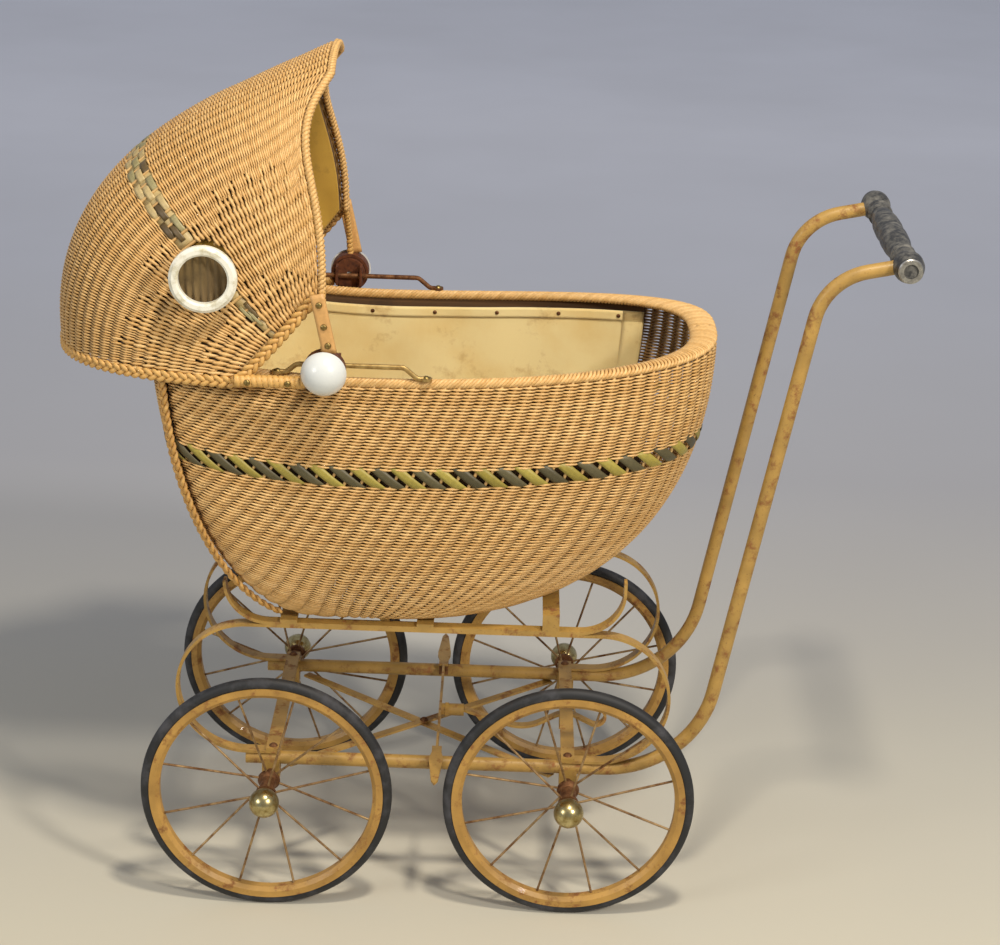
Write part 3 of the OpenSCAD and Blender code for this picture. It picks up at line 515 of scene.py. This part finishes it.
def tub_surface(t):
    """The wall over (distance round the rim, distance down from it), and its height round the rim."""
    fine = ROUND_ANGLES
    edge = tub_point(fine, 1, t)
    round_rim = np.concatenate([[0], np.cumsum(np.linalg.norm(np.diff(edge, axis=0), axis=1))])
    us = np.linspace(0, round_rim[-1], 1201)
    angles = np.interp(us, round_rim, fine)
    share = np.linspace(1, 0, 241)
    lines = tub_point(angles[:, None], share[None], t)
    down = np.concatenate([np.zeros((len(us), 1)),
                           np.cumsum(np.linalg.norm(np.diff(lines, axis=1), axis=2), axis=1)], axis=1)
    vs = np.arange(0, down[:, -1].max() + 2, 2.0)
    s = np.stack([np.interp(vs, d, share) for d in down])
    return Surface(us, vs, tub_point(angles[:, None], s, t), False), down[:, -1], angles


tub, tub_depth, tub_angles = tub_surface(WALL / 2)
ROUND = tub.us[-1]
SIDE = np.interp(CORNER, tub_angles, tub.us)  # from the middle of the foot end to a front corner


def wall_height(u):
    """Length of the wall from the rim down to the floor."""
    return np.interp(u % ROUND, tub.us, tub_depth)


def lean(x):
    """Tangent of a stake's lean at a distance from the front corner."""
    return np.tan(np.radians(np.interp(x, [0, 380, 520], [40, 15, 0])))


def stakes_at(x, v):
    """Count of stakes passed along one side and on round the foot end to the other side."""
    near = x + v * lean(x)
    far = 2 * SIDE - ((2 * SIDE - x) + v * lean(2 * SIDE - x))
    return np.where(x < SIDE, near, far) / STAKE_GAP


def in_band(v):
    return BAND_TOP < v < BAND_LOW


tub_rows = []
x_side = np.arange(2.0, 2 * SIDE - 2, STAKE_GAP / 3)
x_front = np.arange(2.0, ROUND - 2 * SIDE - 2, STAKE_GAP / 3)
for v in np.arange(5.0, tub_depth.max(), ROW):
    if in_band(v):
        continue
    u = (ROUND - SIDE + x_side) % ROUND
    jitter = rng.uniform(-0.12, 0.12)
    found = twined(tub, u, np.full_like(u, v) + jitter, stakes_at(x_side, v), keep=v < wall_height(u) - 1)
    u = SIDE + x_front
    found += twined(tub, u, np.full_like(u, v) + jitter, x_front / STAKE_GAP, keep=v < wall_height(u) - 1)
    tub_rows.append(found)

shares = np.array_split(np.arange(len(tub_rows)), 5)
for k, share in enumerate(shares):
    tubes(f"tub_weave_{k + 1}", [s for i in share for s in tub_rows[i]], 4, REED, "tub",
          ("tub_shell",) if k == 0 else ())

stakes = []
down = np.arange(0.0, tub_depth.max(), 8.0)
for count in np.arange(0, SIDE / STAKE_GAP + 12):
    x = count * STAKE_GAP - down * lean(count * STAKE_GAP)
    for _ in range(10):
        x = count * STAKE_GAP - down * lean(x)
    inside = (x > 1) & (x < SIDE)
    for u in ((ROUND - SIDE + x) % ROUND, SIDE - x):
        for a, b in runs(inside & (down < wall_height(u))):
            stakes.append(strand(*tub.at(u[a:b], down[a:b]), 1.7))
for x in np.arange(STAKE_GAP, ROUND - 2 * SIDE - 5, STAKE_GAP):
    u = np.full_like(down, SIDE + x)
    for a, b in runs(down < wall_height(u)):
        stakes.append(strand(*tub.at(u[a:b], down[a:b]), 1.7))
tubes("tub_stakes", stakes, 6, STAKE, "tub")

# Underside: rows across the floor's outline
floor_rows = []
for x in np.arange(FLOOR_FRONT + 3, FLOOR_REAR - 2, ROW):
    reach = TUB_MID - FLOOR_FRONT if x < TUB_MID else FLOOR_REAR - TUB_MID
    p = FRONT_POWER if x < TUB_MID else REAR_POWER
    half = (FLOOR_HALF - WALL / 2) * max(0.05, 1 - (abs(x - TUB_MID) / reach) ** p) ** (1 / p)
    y = np.linspace(-half, half, max(6, int(2 * half / 4.5)))
    for phase in (0, math.pi):
        turn_at = np.pi * y / STAKE_GAP + phase
        points = np.stack([x + STEP * np.sin(turn_at), y, TUB_Z + WALL / 2 - DIVE * np.cos(turn_at)], axis=-1)
        floor_rows.append(strand(points, np.tile([0.0, 0, -1], (len(y), 1)), 0.9, 1.12,
                                 0.5 + 0.5 * np.cos(turn_at)))
tubes("tub_underside", floor_rows, 4, REED, "tub")

# Band: slanted flat strips, olive and dark in turn, bulging between their tucked ends
olive, dark = [], []
strip_u, strip_v = np.meshgrid(np.linspace(0, 1, 4), np.linspace(0, 1, 9), indexing="ij")
band_count = 2 * round(ROUND / 41)
for k in range(band_count):
    u = k * ROUND / band_count + strip_v * 27 + (strip_u - 0.5) * 14.5
    points, out = tub.at(u % ROUND, BAND_TOP - 2 + strip_v * (BAND_LOW - BAND_TOP + 4))
    lift = 0.4 + 2.6 * np.sin(np.pi * strip_v) ** 0.7 + 0.5 * np.sin(np.pi * strip_u)
    (olive if k % 2 else dark).append((points + out * lift[..., None], out, 0.9))
slabs("tub_band_olive", olive, OLIVE, "tub")
slabs("tub_band_dark", dark, DARK, "tub")

# Border: strands wound round a rolled core, wide and flat over the foot end
ROLL, DECK, ROLL_LIFT = 9.0, 19.0, 0.5
roll_at = ROUND_ANGLES
edge = tub_point(roll_at, 1, 0)
width = ROLL + DECK * np.maximum(0, cosd(roll_at)) ** 2
inner = np.stack([tub_point(a, 1, w) for a, w in zip(roll_at, width)])
inward = (inner - edge) / 2
roll_far = np.concatenate([[0], np.cumsum(np.linalg.norm(np.diff(edge, axis=0), axis=1))])
turns = round(roll_far[-1] / 24)
STARTS = 6


def round_border(at, phase, trim):
    """Point of the border at a distance round the rim and an angle round its section."""
    c = [np.interp(at % roll_far[-1], roll_far, table) for table in
         (*(edge + inward).T, *inward.T)]
    centre, across = np.stack(c[:3], -1), np.stack(c[3:], -1)
    size = np.linalg.norm(across, axis=-1, keepdims=True)
    across = across / size * (size - trim)
    lift = np.array([0, 0, ROLL / 2 + ROLL_LIFT - trim])
    out = unit(across * np.cos(phase)[:, None] + lift * np.sin(phase)[:, None])
    return centre + [0, 0, ROLL_LIFT] + across * np.cos(phase)[:, None] + lift * np.sin(phase)[:, None], out


at = np.linspace(0, roll_far[-1], turns * 14 + 1)
wound = [strand(*round_border(at, -2 * np.pi * (at / roll_far[-1] * turns + k / STARTS), 1.5), 1.6, 1.75)
         for k in range(STARTS)]
tubes("rim_winding", wound, 6, REED, "tub", ("tub_rim",))
core_at = np.linspace(0, roll_far[-1], 200)
core = np.stack([round_border(core_at, np.full(200, 2 * np.pi * k / 12), 2.6)[0] for k in range(12)], axis=1)
index = np.arange(200 * 12).reshape(200, 12)
core_quads = np.stack([index[:-1], np.roll(index, -1, 1)[:-1], np.roll(index, -1, 1)[1:], index[1:]],
                      axis=-1).reshape(-1, 4)
make("rim_core", core.reshape(-1, 3), core_quads[:, ::-1], CORE, "tub")

# Plaits down the two front corners
corner_s = np.linspace(0.16, 0.97, 62)
corners = []
for a in (CORNER, 360 - CORNER):
    path = tub_point(a, corner_s, -2.5)
    out = unit(tub_point(a, corner_s, -3.5) - tub_point(a, corner_s, 0))
    corners += plait(path, out, 12)
tubes("corner_plaits", corners, 8, CANE, "tub", ("corner_braids",))

# ---------------------------------------------------------------- hood

PIVOT_X, PIVOT_Z, EDGE_Z = 57.0, 580.0, 564.0
HOOD_HALF, FACE_HALF = 168.0, 160.0
CORNER_OUT, CORNER_UP = 84.0, 87.0
PORT_X, PORT_Z, PORT_R = -56.0, 665.0, 32.0
BOW = 4.0
FACE_SET = 2 * BOW + 0.3  # room for the bow in front of the hood's edge
SCOOP, SCOOP_RISE = 19.5, 188.0
HOOD_WALL = 5.0
DOME_R = 266.0


def dome_r(b):
    """Radius of the hood at an angle back from its face."""
    return DOME_R + 26 * np.maximum(0, 1 - b / 24) ** 2 + 13 * sind(180 * np.maximum(0, b - 30) / 80) ** 2


def hood_point(b, w, t):
    """Point of the hood: b is the angle back from its face, w the way over from left to right."""
    b, w = np.broadcast_arrays(np.asarray(b, float), np.asarray(w, float))
    power = 2.3 + 0.5 * b / 90
    radius = dome_r(b) - t
    start_share = 1 / (sind(b) / CORNER_OUT + cosd(b) / CORNER_UP) / radius
    first = np.degrees(np.arcsin(start_share ** (power / 2)))
    a = first + (180 - 2 * first) * w
    rise = radius * sind(a) ** (2 / power)
    bow_share = np.clip((rise - CORNER_UP) / SCOOP_RISE, 0, 1) ** 2.35
    scoop = (FACE_SET + SCOOP * sind(180 * bow_share)) * np.maximum(0, 1 - b / 30) ** 2
    half = FACE_HALF + (HOOD_HALF - FACE_HALF) * b / 90 - t
    return np.stack([PIVOT_X - rise * sind(b) - scoop, -half * spow(cosd(a), 2 / power),
                     EDGE_Z + rise * cosd(b)], axis=-1)


def hood_surface(t):
    """The hood over (distance over the middle arch, angle back from the face)."""
    share = np.linspace(0, 1, 1201)
    mid = hood_point(45, share, t)
    far = np.concatenate([[0], np.cumsum(np.linalg.norm(np.diff(mid, axis=0), axis=1))])
    us = np.linspace(0, far[-1], 801)
    vs = np.linspace(0, 90, 181)
    return Surface(us, vs, hood_point(vs[None], np.interp(us, far, share)[:, None], t), True)


hood = hood_surface(HOOD_WALL / 2)
OVER = hood.us[-1]
RANK = math.degrees(ROW / DOME_R)
BAND_FROM, BAND_TO = 44.0, 49.2


def reach_of(points):
    """Distance from the pivot's axis."""
    return np.hypot(points[..., 0] - PIVOT_X, points[..., 2] - EDGE_Z)


# Rows fan out from the pivot: three in four stop on the way in, and their neighbours move over
hood_rows = []
over = np.arange(0.5, OVER - 0.3, STAKE_GAP / 3)
row_b = np.arange(0.4, 89.8, RANK)
spots = hood.at(*np.broadcast_arrays(over[None], row_b[:, None]))[0]
reach = reach_of(spots)
stops = np.array([rng.uniform(165, 205) if k % 2 else rng.uniform(92, 125) if k % 4 else 0
                  for k in range(len(row_b))])
woven = reach > stops[:, None]


def gap_to_next(step):
    """Rows from each row to the next one that is woven there, in one direction."""
    gap = np.full(woven.shape, 4.0)
    for far in (4, 3, 2, 1):
        there = np.roll(woven, -step * far, axis=0)
        if step > 0:
            there[-far:] = far == 1
        else:
            there[:far] = far == 1
        gap[there] = far
    blur = np.ones(7) / 7
    return np.array([np.convolve(np.pad(line, 3, mode="edge"), blur, "valid") for line in gap])


ahead_gap, behind_gap = gap_to_next(1), gap_to_next(-1)
clear = np.hypot(spots[..., 0] - PORT_X, spots[..., 2] - PORT_Z) > PORT_R - 5
for k, b in enumerate(row_b):
    keep = clear[k] & woven[k] & ~((BAND_FROM < b) & (b < BAND_TO))
    size = np.clip(reach[k] / DOME_R * (ahead_gap[k] + behind_gap[k]) / 2 * 1.1, 0.5, 1.75)
    middle_b = np.clip(b + RANK * (ahead_gap[k] - behind_gap[k]) / 4, 0, 90)
    width_deg = np.degrees(1 / np.maximum(reach[k], 40))
    found = []
    for phase in (0, math.pi):
        turn_at = np.pi * over / STAKE_GAP + phase
        points, out = hood.at(over, middle_b + STEP * size * width_deg * np.sin(turn_at))
        points = points + out * (DIVE * np.minimum(size, 1) * np.cos(turn_at))[:, None]
        depth = 0.5 + 0.5 * np.cos(turn_at)
        high = height_of(turn_at) * size
        for i, j in runs(keep):
            found.append(strand(points[i:j], out[i:j], 0.9, high[i:j], depth[i:j]))
    hood_rows.append(found)
for k, share in enumerate(np.array_split(np.arange(len(hood_rows)), 4)):
    tubes(f"hood_weave_{k + 1}", [s for i in share for s in hood_rows[i]], 4, REED, "hood",
          ("hood_shell",) if k == 0 else ())

ribs = []
fan = np.linspace(0, 90, 46)
for x in np.arange(STAKE_GAP, OVER - 2, STAKE_GAP):
    points, out = hood.at(np.full_like(fan, x), fan)
    clear = np.hypot(points[:, 0] - PORT_X, points[:, 2] - PORT_Z) > PORT_R - 6
    for a, b in runs(clear):
        ribs.append(strand(points[a:b], out[a:b], 1.6))
tubes("hood_ribs", ribs, 6, STAKE, "hood")

# Band over the hood: columns of flat splints, staggered and tucked under each other
strip_u, strip_v = np.meshgrid(np.linspace(0, 1, 7), np.linspace(0, 1, 4), indexing="ij")
splints = {"olive": [], "dark": [], "plain": []}
COLUMNS = 3
for column in range(COLUMNS):
    for k in range(-1, int(OVER / STAKE_GAP) + 1):
        length = 1.5 * STAKE_GAP
        u = (k + 0.5 * (column % 2)) * STAKE_GAP + strip_u * length
        if u.min() < 1 or u.max() > OVER - 1 or (k + column) % 2:
            continue
        b = BAND_FROM + (BAND_TO - BAND_FROM) * (column + 0.05 + 0.95 * strip_v) / COLUMNS
        points, out = hood.at(u, b)
        gap = np.hypot(points[..., 0] - PORT_X, points[..., 2] - PORT_Z)
        if gap.min() < PORT_R - 6:
            continue
        lift = 0.6 + 2.0 * np.sin(np.pi * strip_u)
        tone = rng.choice(["plain", "olive", "dark"], p=[0.5, 0.33, 0.17])
        splints[tone].append((points + out * lift[..., None], out, 0.8))
under_b, under_u = np.meshgrid(np.linspace(BAND_FROM, BAND_TO, 3), np.linspace(1, OVER - 1, 160))
points, out = hood.at(under_u, under_b)
clear = np.hypot(points[..., 0] - PORT_X, points[..., 2] - PORT_Z).min(axis=1) > PORT_R - 5
splints["plain"] += [(points[a:b], out[a:b], 1.0) for a, b in runs(clear)]
for tone, paint in (("olive", GREY_SPLINT), ("dark", BROWN_SPLINT), ("plain", SPLINT)):
    slabs(f"hood_band_{tone}", splints[tone], paint, "hood")

# Plait along the level edge and up both slanted corners
way = np.linspace(0, 1, 30)
slant = np.stack([PIVOT_X - CORNER_OUT * way - FACE_SET * (1 - way) ** 2,
                  -(FACE_HALF + (HOOD_HALF - FACE_HALF) * way) - 1.5,
                  EDGE_Z + CORNER_UP * (1 - way)], axis=-1)
level_w = np.linspace(0, 1, 160)
level = hood_point(89.9, level_w, 1.5)
level_out = hood.at(np.interp(level_w, [0, 1], [0, OVER]), np.full_like(level_w, 89.0))[1]
edges = plait(level, unit(level_out * [1, 1, 0]), 12)
for flip in (1, -1):
    edges += plait(slant * [1, flip, 1], np.tile([0.0, -flip, 0], (len(slant), 1)), 12)
tubes("hood_edge_plait", edges, 8, CANE, "hood", ("edge_braid",))

# Rolled face: strands wound round the bow, and flat cane round its two legs
BOW_Y = HOOD_HALF + 1
ARM_Y = BOW_Y + BOW + 3
arch = hood_point(0, np.linspace(0, 1, 200), HOOD_WALL / 2) + [BOW + 0.3, 0, 0]
arch, arch_far = resample(arch, 2.2)


def wind(path, far, radius, pitch, starts, deep, high):
    """Strands wound round a path, each in a helix."""
    along = unit(np.gradient(path, axis=0))
    across = unit(np.cross(along, [1.0, 0.1, 0.0]))
    third = np.cross(along, across)
    found = []
    for k in range(starts):
        phase = 2 * np.pi * (far / pitch + k / starts)
        out = across * np.cos(phase)[:, None] + third * np.sin(phase)[:, None]
        found.append(strand(path + out * radius, out, deep, high))
    return found


tubes("face_winding", wind(arch, arch_far, BOW - 1.1, 13, 3, 1.5, 2.3), 6, REED, "hood",
      ("face_bow",))
tubes("face_core", [strand(arch, unit(np.cross(np.gradient(arch, axis=0), [1.0, 0, 0])), BOW - 1.9)],
      8, CORE, "hood")
leg_top, leg_foot = arch[0] + [0, 0, 2], np.array([PIVOT_X, -BOW_Y, PIVOT_Z + 17.5])
legs = []
for flip in (1, -1):
    leg = np.array([leg_foot, [PIVOT_X - 1, -BOW_Y + 2, PIVOT_Z + 39], leg_top])
    path, far = resample(leg * [1, flip, 1], 0.7)
    legs += wind(path, far, BOW - 1.0, 4.6, 1, 0.7, 2.2)
    legs.append(strand(path, np.tile([1.0, 0, 0], (len(path), 1)), BOW - 1.2))
tubes("leg_wrapping", legs, 8, CANE, "hood")

# ---------------------------------------------------------------- cloth


def crumple(u, v, size, height):
    """Gentle creases: sums of seeded waves."""
    total = np.zeros_like(u)
    for _ in range(9):
        heading, length = rng.uniform(0, np.pi), size * rng.uniform(0.5, 1.6)
        phase = rng.uniform(0, 6.3)
        total += np.sin(2 * np.pi * (u * np.cos(heading) + v * np.sin(heading)) / length + phase)
    return height * total / 3


CLOTH, SHADE_SHEET_THICK = 0.9, 0.4
HOOD_HEM = 6  # from the hood's edge to its lining
lined, _, lined_angles = tub_surface(WALL + 1.6)
from_u, to_u = (np.interp(a, lined_angles, lined.us) for a in (41, 319))
sheet_u, sheet_v = np.meshgrid(np.linspace(from_u, to_u, 260), np.linspace(11, 175, 60), indexing="ij")
points, out = lined.at(sheet_u, sheet_v)
sag = crumple(sheet_u, sheet_v, 110, 0.9)
points = points - out * (1.0 + sag - sag.min())[..., None]
liner = slabs("tub_lining_cloth", [(points, out, CLOTH)], LINING, "tub", ("tub_lining",))
# Dark sheet just behind the tub's weave, in front of the lining: painted shade for the gaps between the
# strands
behind, _, behind_angles = tub_surface(WALL + 0.6)
from_u, to_u = (np.interp(a, behind_angles, behind.us) for a in (41.5, 318.5))
back_u, back_v = np.meshgrid(np.linspace(from_u, to_u, 200), np.linspace(3, 174, 30), indexing="ij")
back, back_out = behind.at(back_u, back_v)
shade_sheet = slabs("tub_weave_shade_sheet", [(back, back_out, SHADE_SHEET_THICK)], WEAVE_SHADE, "tub")
hems = [(points[:, :5] - out[:, :5] * 1.0, out[:, :5], 0.9),
        (points[:6] - out[:6] * 1.0, out[:6], 0.9), (points[-6:] - out[-6:] * 1.0, out[-6:], 0.9)]
slabs("lining_hem", hems, LINING, "tub")


def domes(name, spots, radius, height, material, body):
    """Round-headed tacks or screws at (place, direction) pairs."""
    verts, quads, base, n = [], [], 0, 12
    turn_at = 2 * np.pi * np.arange(n) / n
    profile = [(1.0, 0.0), (0.95, 0.35), (0.75, 0.7), (0.4, 0.94), (0.08, 1.0)]
    for place, out in spots:
        side = unit(np.cross(out, [0.3, 0.2, 1.0]))
        third = np.cross(out, side)
        for r, h in profile:
            verts.append(place + out * (h * height) + radius * r
                         * (side * np.cos(turn_at)[:, None] + third * np.sin(turn_at)[:, None]))
        k = np.arange(n)
        for i in range(len(profile) - 1):
            quads.append(base + np.stack([i * n + k, i * n + (k + 1) % n, (i + 1) * n + (k + 1) % n,
                                          (i + 1) * n + k], axis=-1))
        cap = np.array([[j, j + 1, n - 2 - j, n - 1 - j] for j in range(n // 2 - 1)])
        quads += [base + cap[:, ::-1], base + (len(profile) - 1) * n + cap]
        base += n * len(profile)
    return make(name, np.concatenate(verts), np.concatenate(quads), material, body)


tack_rows = range(6, 255, 14)
domes("lining_tacks", [(points[i, 2] - out[i, 2] * 2.0, -out[i, 2]) for i in tack_rows], 2.2, 1.3, RUST,
      "tub")

inside = hood_surface(HOOD_WALL + 1.4)
cloth_u, cloth_b = np.meshgrid(np.linspace(HOOD_HEM, OVER - 8, 200), np.linspace(2, 88.5, 110), indexing="ij")
cloth_u = cloth_u / cloth_u.max() * (inside.us[-1] - HOOD_HEM)
points, out = inside.at(cloth_u, cloth_b)
sag = crumple(cloth_u, cloth_b * 3.5, 120, 1.2)
points = points - out * (0.8 + sag - sag.min())[..., None]
hood_cloth = slabs("hood_lining_cloth", [(points, out, CLOTH)], HOOD_CLOTH, "hood",
                   ("hood_lining",))

# Dark sheet just behind the hood's weave, open at the portholes: painted shade for the gaps between the
# strands
behind = hood_surface(HOOD_WALL + 0.5)
back_u = np.linspace(HOOD_HEM, behind.us[-1] - HOOD_HEM, 200)
back_b = np.linspace(1.5, 88.5, 60)
back, back_out = behind.at(*np.meshgrid(back_u, back_b, indexing="ij"))
clear = np.hypot(back[..., 0] - PORT_X, back[..., 2] - PORT_Z) > PORT_R - 5
strips = [(back[a:b, k:k + 2], back_out[a:b, k:k + 2], SHADE_SHEET_THICK)
          for k in range(len(back_b) - 1) for a, b in runs(clear[:, k] & clear[:, k + 1])]
shade_sheet = slabs("hood_weave_shade_sheet", strips, WEAVE_SHADE, "hood")

# Shirred curtain behind each porthole
CURTAIN_R = 26.0
for side, flip in (("left", 1), ("right", -1)):
    cols, rows = np.meshgrid(np.linspace(-1, 1, 61), np.linspace(-1, 1, 31), indexing="ij")
    reach_at = CURTAIN_R * np.sqrt(np.maximum(0.06, 1 - cols ** 2))
    x = PORT_X + CURTAIN_R * cols
    z = PORT_Z + reach_at * rows
    folds = 1.6 * np.sin(2 * np.pi * CURTAIN_R * cols / 7 + 0.5 * rows) * (0.35 + 0.65 * np.abs(rows))
    y = -(HOOD_HALF - 9.5) + folds
    grid = np.stack([x, y * flip, z], axis=-1)
    out = np.zeros_like(grid)
    out[..., 1] = -flip
    piece = slabs(f"{side}_porthole_curtain", [(grid, out, 0.6)], CURTAIN, "hood")

# ---------------------------------------------------------------- small fittings

stick_z, stick_y, STICK = PIVOT_Z - 12, HOOD_HALF + 1.5, 6.2
wraps, battens = [], []
for flip in (-1, 1):
    path, far = resample([[PIVOT_X - CORNER_OUT, flip * stick_y, stick_z],
                          [PIVOT_X - 18.5, flip * stick_y, stick_z]], 0.7)
    along = np.tile([0.0, 0, 1], (len(path), 1))
    phase = 2 * np.pi * far / 5.2
    out = np.stack([np.zeros(len(path)), np.cos(phase), np.sin(phase)], axis=-1)
    wraps.append(strand(path + out * (STICK - 0.6), out, 0.8, 2.45))
    wraps.append(strand(path, along, STICK - 0.5))
    low_end = np.array([PIVOT_X + 5.5, 0, PIVOT_Z + 19])
    high_end = np.array([PIVOT_X - 7.0, 0, PIVOT_Z + 76])
    lengths, widths = np.meshgrid(np.linspace(0, 1, 12), np.linspace(-6.5, 6.5, 5), indexing="ij")
    grid = low_end + (high_end - low_end) * lengths[..., None] + np.array([1.0, 0, 0.2]) * widths[..., None]
    grid[..., 1] = flip * ARM_Y
    battens.append((grid, np.broadcast_to([0.0, flip, 0], grid.shape), 2.8))
tubes("stick_wrapping", wraps, 8, CANE, "hood", ("hood_arms",))
slabs("hood_battens", battens, BATTEN, "hood")

screws = []
for flip in (-1, 1):
    for z in (PIVOT_Z + 27, PIVOT_Z + 45, PIVOT_Z + 66):
        screws.append((np.array([PIVOT_X + 5.5 - 0.22 * (z - PIVOT_Z - 19), flip * ARM_Y, z]),
                       np.array([0.0, flip, 0])))
    for x in (PIVOT_X - 72, PIVOT_X - 34):
        screws.append((np.array([x, flip * (stick_y + STICK), stick_z]), np.array([0.0, flip, 0])))
domes("arm_screws", screws, 3.2, 1.8, BRASS, "hood")

# The C-springs: copies of the imported steel in ochre enamel, in place of the imported springs
for side in ("left", "right"):
    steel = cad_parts[f"{side}_c_spring"]
    piece = bpy.data.objects.new(f"{side}_spring_steel", steel.data.copy())
    bpy.context.scene.collection.objects.link(piece)
    piece.data.materials.clear()
    piece.data.materials.append(OCHRE)
    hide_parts(f"{side}_c_spring")
    low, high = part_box(f"{side}_c_spring")
    x, y = (low[0] + high[0]) / 2, (low[1] + high[1]) / 2
    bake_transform(piece)

# ---------------------------------------------------------------- floor and light


def studio_floor():
    """Wide flat floor of pale paper with painted light in its colour: warm under the carriage, and cooler and
    lighter far behind it, brightening with distance in place of a lit backdrop.
    """
    corners = metres([[-12000, -9000, 0], [12000, -9000, 0], [12000, 14000, 0], [-12000, 14000, 0]])
    mesh = bpy.data.meshes.new("studio_floor")
    mesh.from_pydata(corners.tolist(), [], [(0, 1, 2, 3)])
    piece = bpy.data.objects.new("studio_floor", mesh)
    mat, tree, shader, place = start("grey_paper_with_painted_light", Roughness=0.75)
    depth = add(tree, "ShaderNodeSeparateXYZ", {"Vector": place}).outputs["Y"]
    level = add(tree, "ShaderNodeMapRange", {"Value": depth, "From Min": -1.0, "From Max": 5.0}).outputs[0]
    # Painted light: the colour changes with distance and grows much lighter far behind the carriage, making
    # up for the lamps' falloff
    tone = add(tree, "ShaderNodeValToRGB", {"Fac": level},
               [(0.117, "#cdc7b2"), (0.217, "#bfbcb0"), (0.35, "#b9babe"), (0.533, "#d6d9e2"),
                (0.75, "#f2f4fc")]).outputs[0]
    cloudy = patches(tree, place, 700, [(0.3, 0.0), (0.7, 0.12)], detail=3)
    tint = add(tree, "ShaderNodeMix", {AMOUNT: cloudy, UNDER: tone, OVERLAY: "#a4a3a2"},
               data_type="RGBA").outputs[MIXED]
    tree.links.new(tint, shader.inputs["Base Color"])
    mesh.materials.append(mat)
    bpy.context.scene.collection.objects.link(piece)


def lamp(name, place, aim, size, watts, tint):
    light = bpy.data.objects.new(name, bpy.data.lights.new(name, "AREA"))
    light.data.shape = "DISK"
    light.data.size = size
    light.data.energy = watts
    light.data.color = colour(tint)[:3]
    light.location = place
    light.rotation_euler = (Vector(aim) - Vector(place)).to_track_quat("-Z", "Y").to_euler()
    bpy.context.scene.collection.objects.link(light)


studio_floor()
lamp("overhead", metres((514, -821, 2334)), metres((200, 0, 350)), 0.22, 28, "#fff4e2")
lamp("key", (1.9, -2.3, 2.3), (0, 0, 0.4), 0.4, 62, "#fff6ea")
lamp("fill", (-2.6, -2.2, 1.9), (0, 0, 0.4), 1.2, 30, "#f6f4f0")
world = bpy.data.worlds.new("studio")
world.use_nodes = True
world.node_tree.nodes["Background"].inputs["Color"].default_value = colour("#c9ccd6")
world.node_tree.nodes["Background"].inputs["Strength"].default_value = 0.55
bpy.context.scene.world = world
bpy.context.scene.view_settings.view_transform = "Standard"
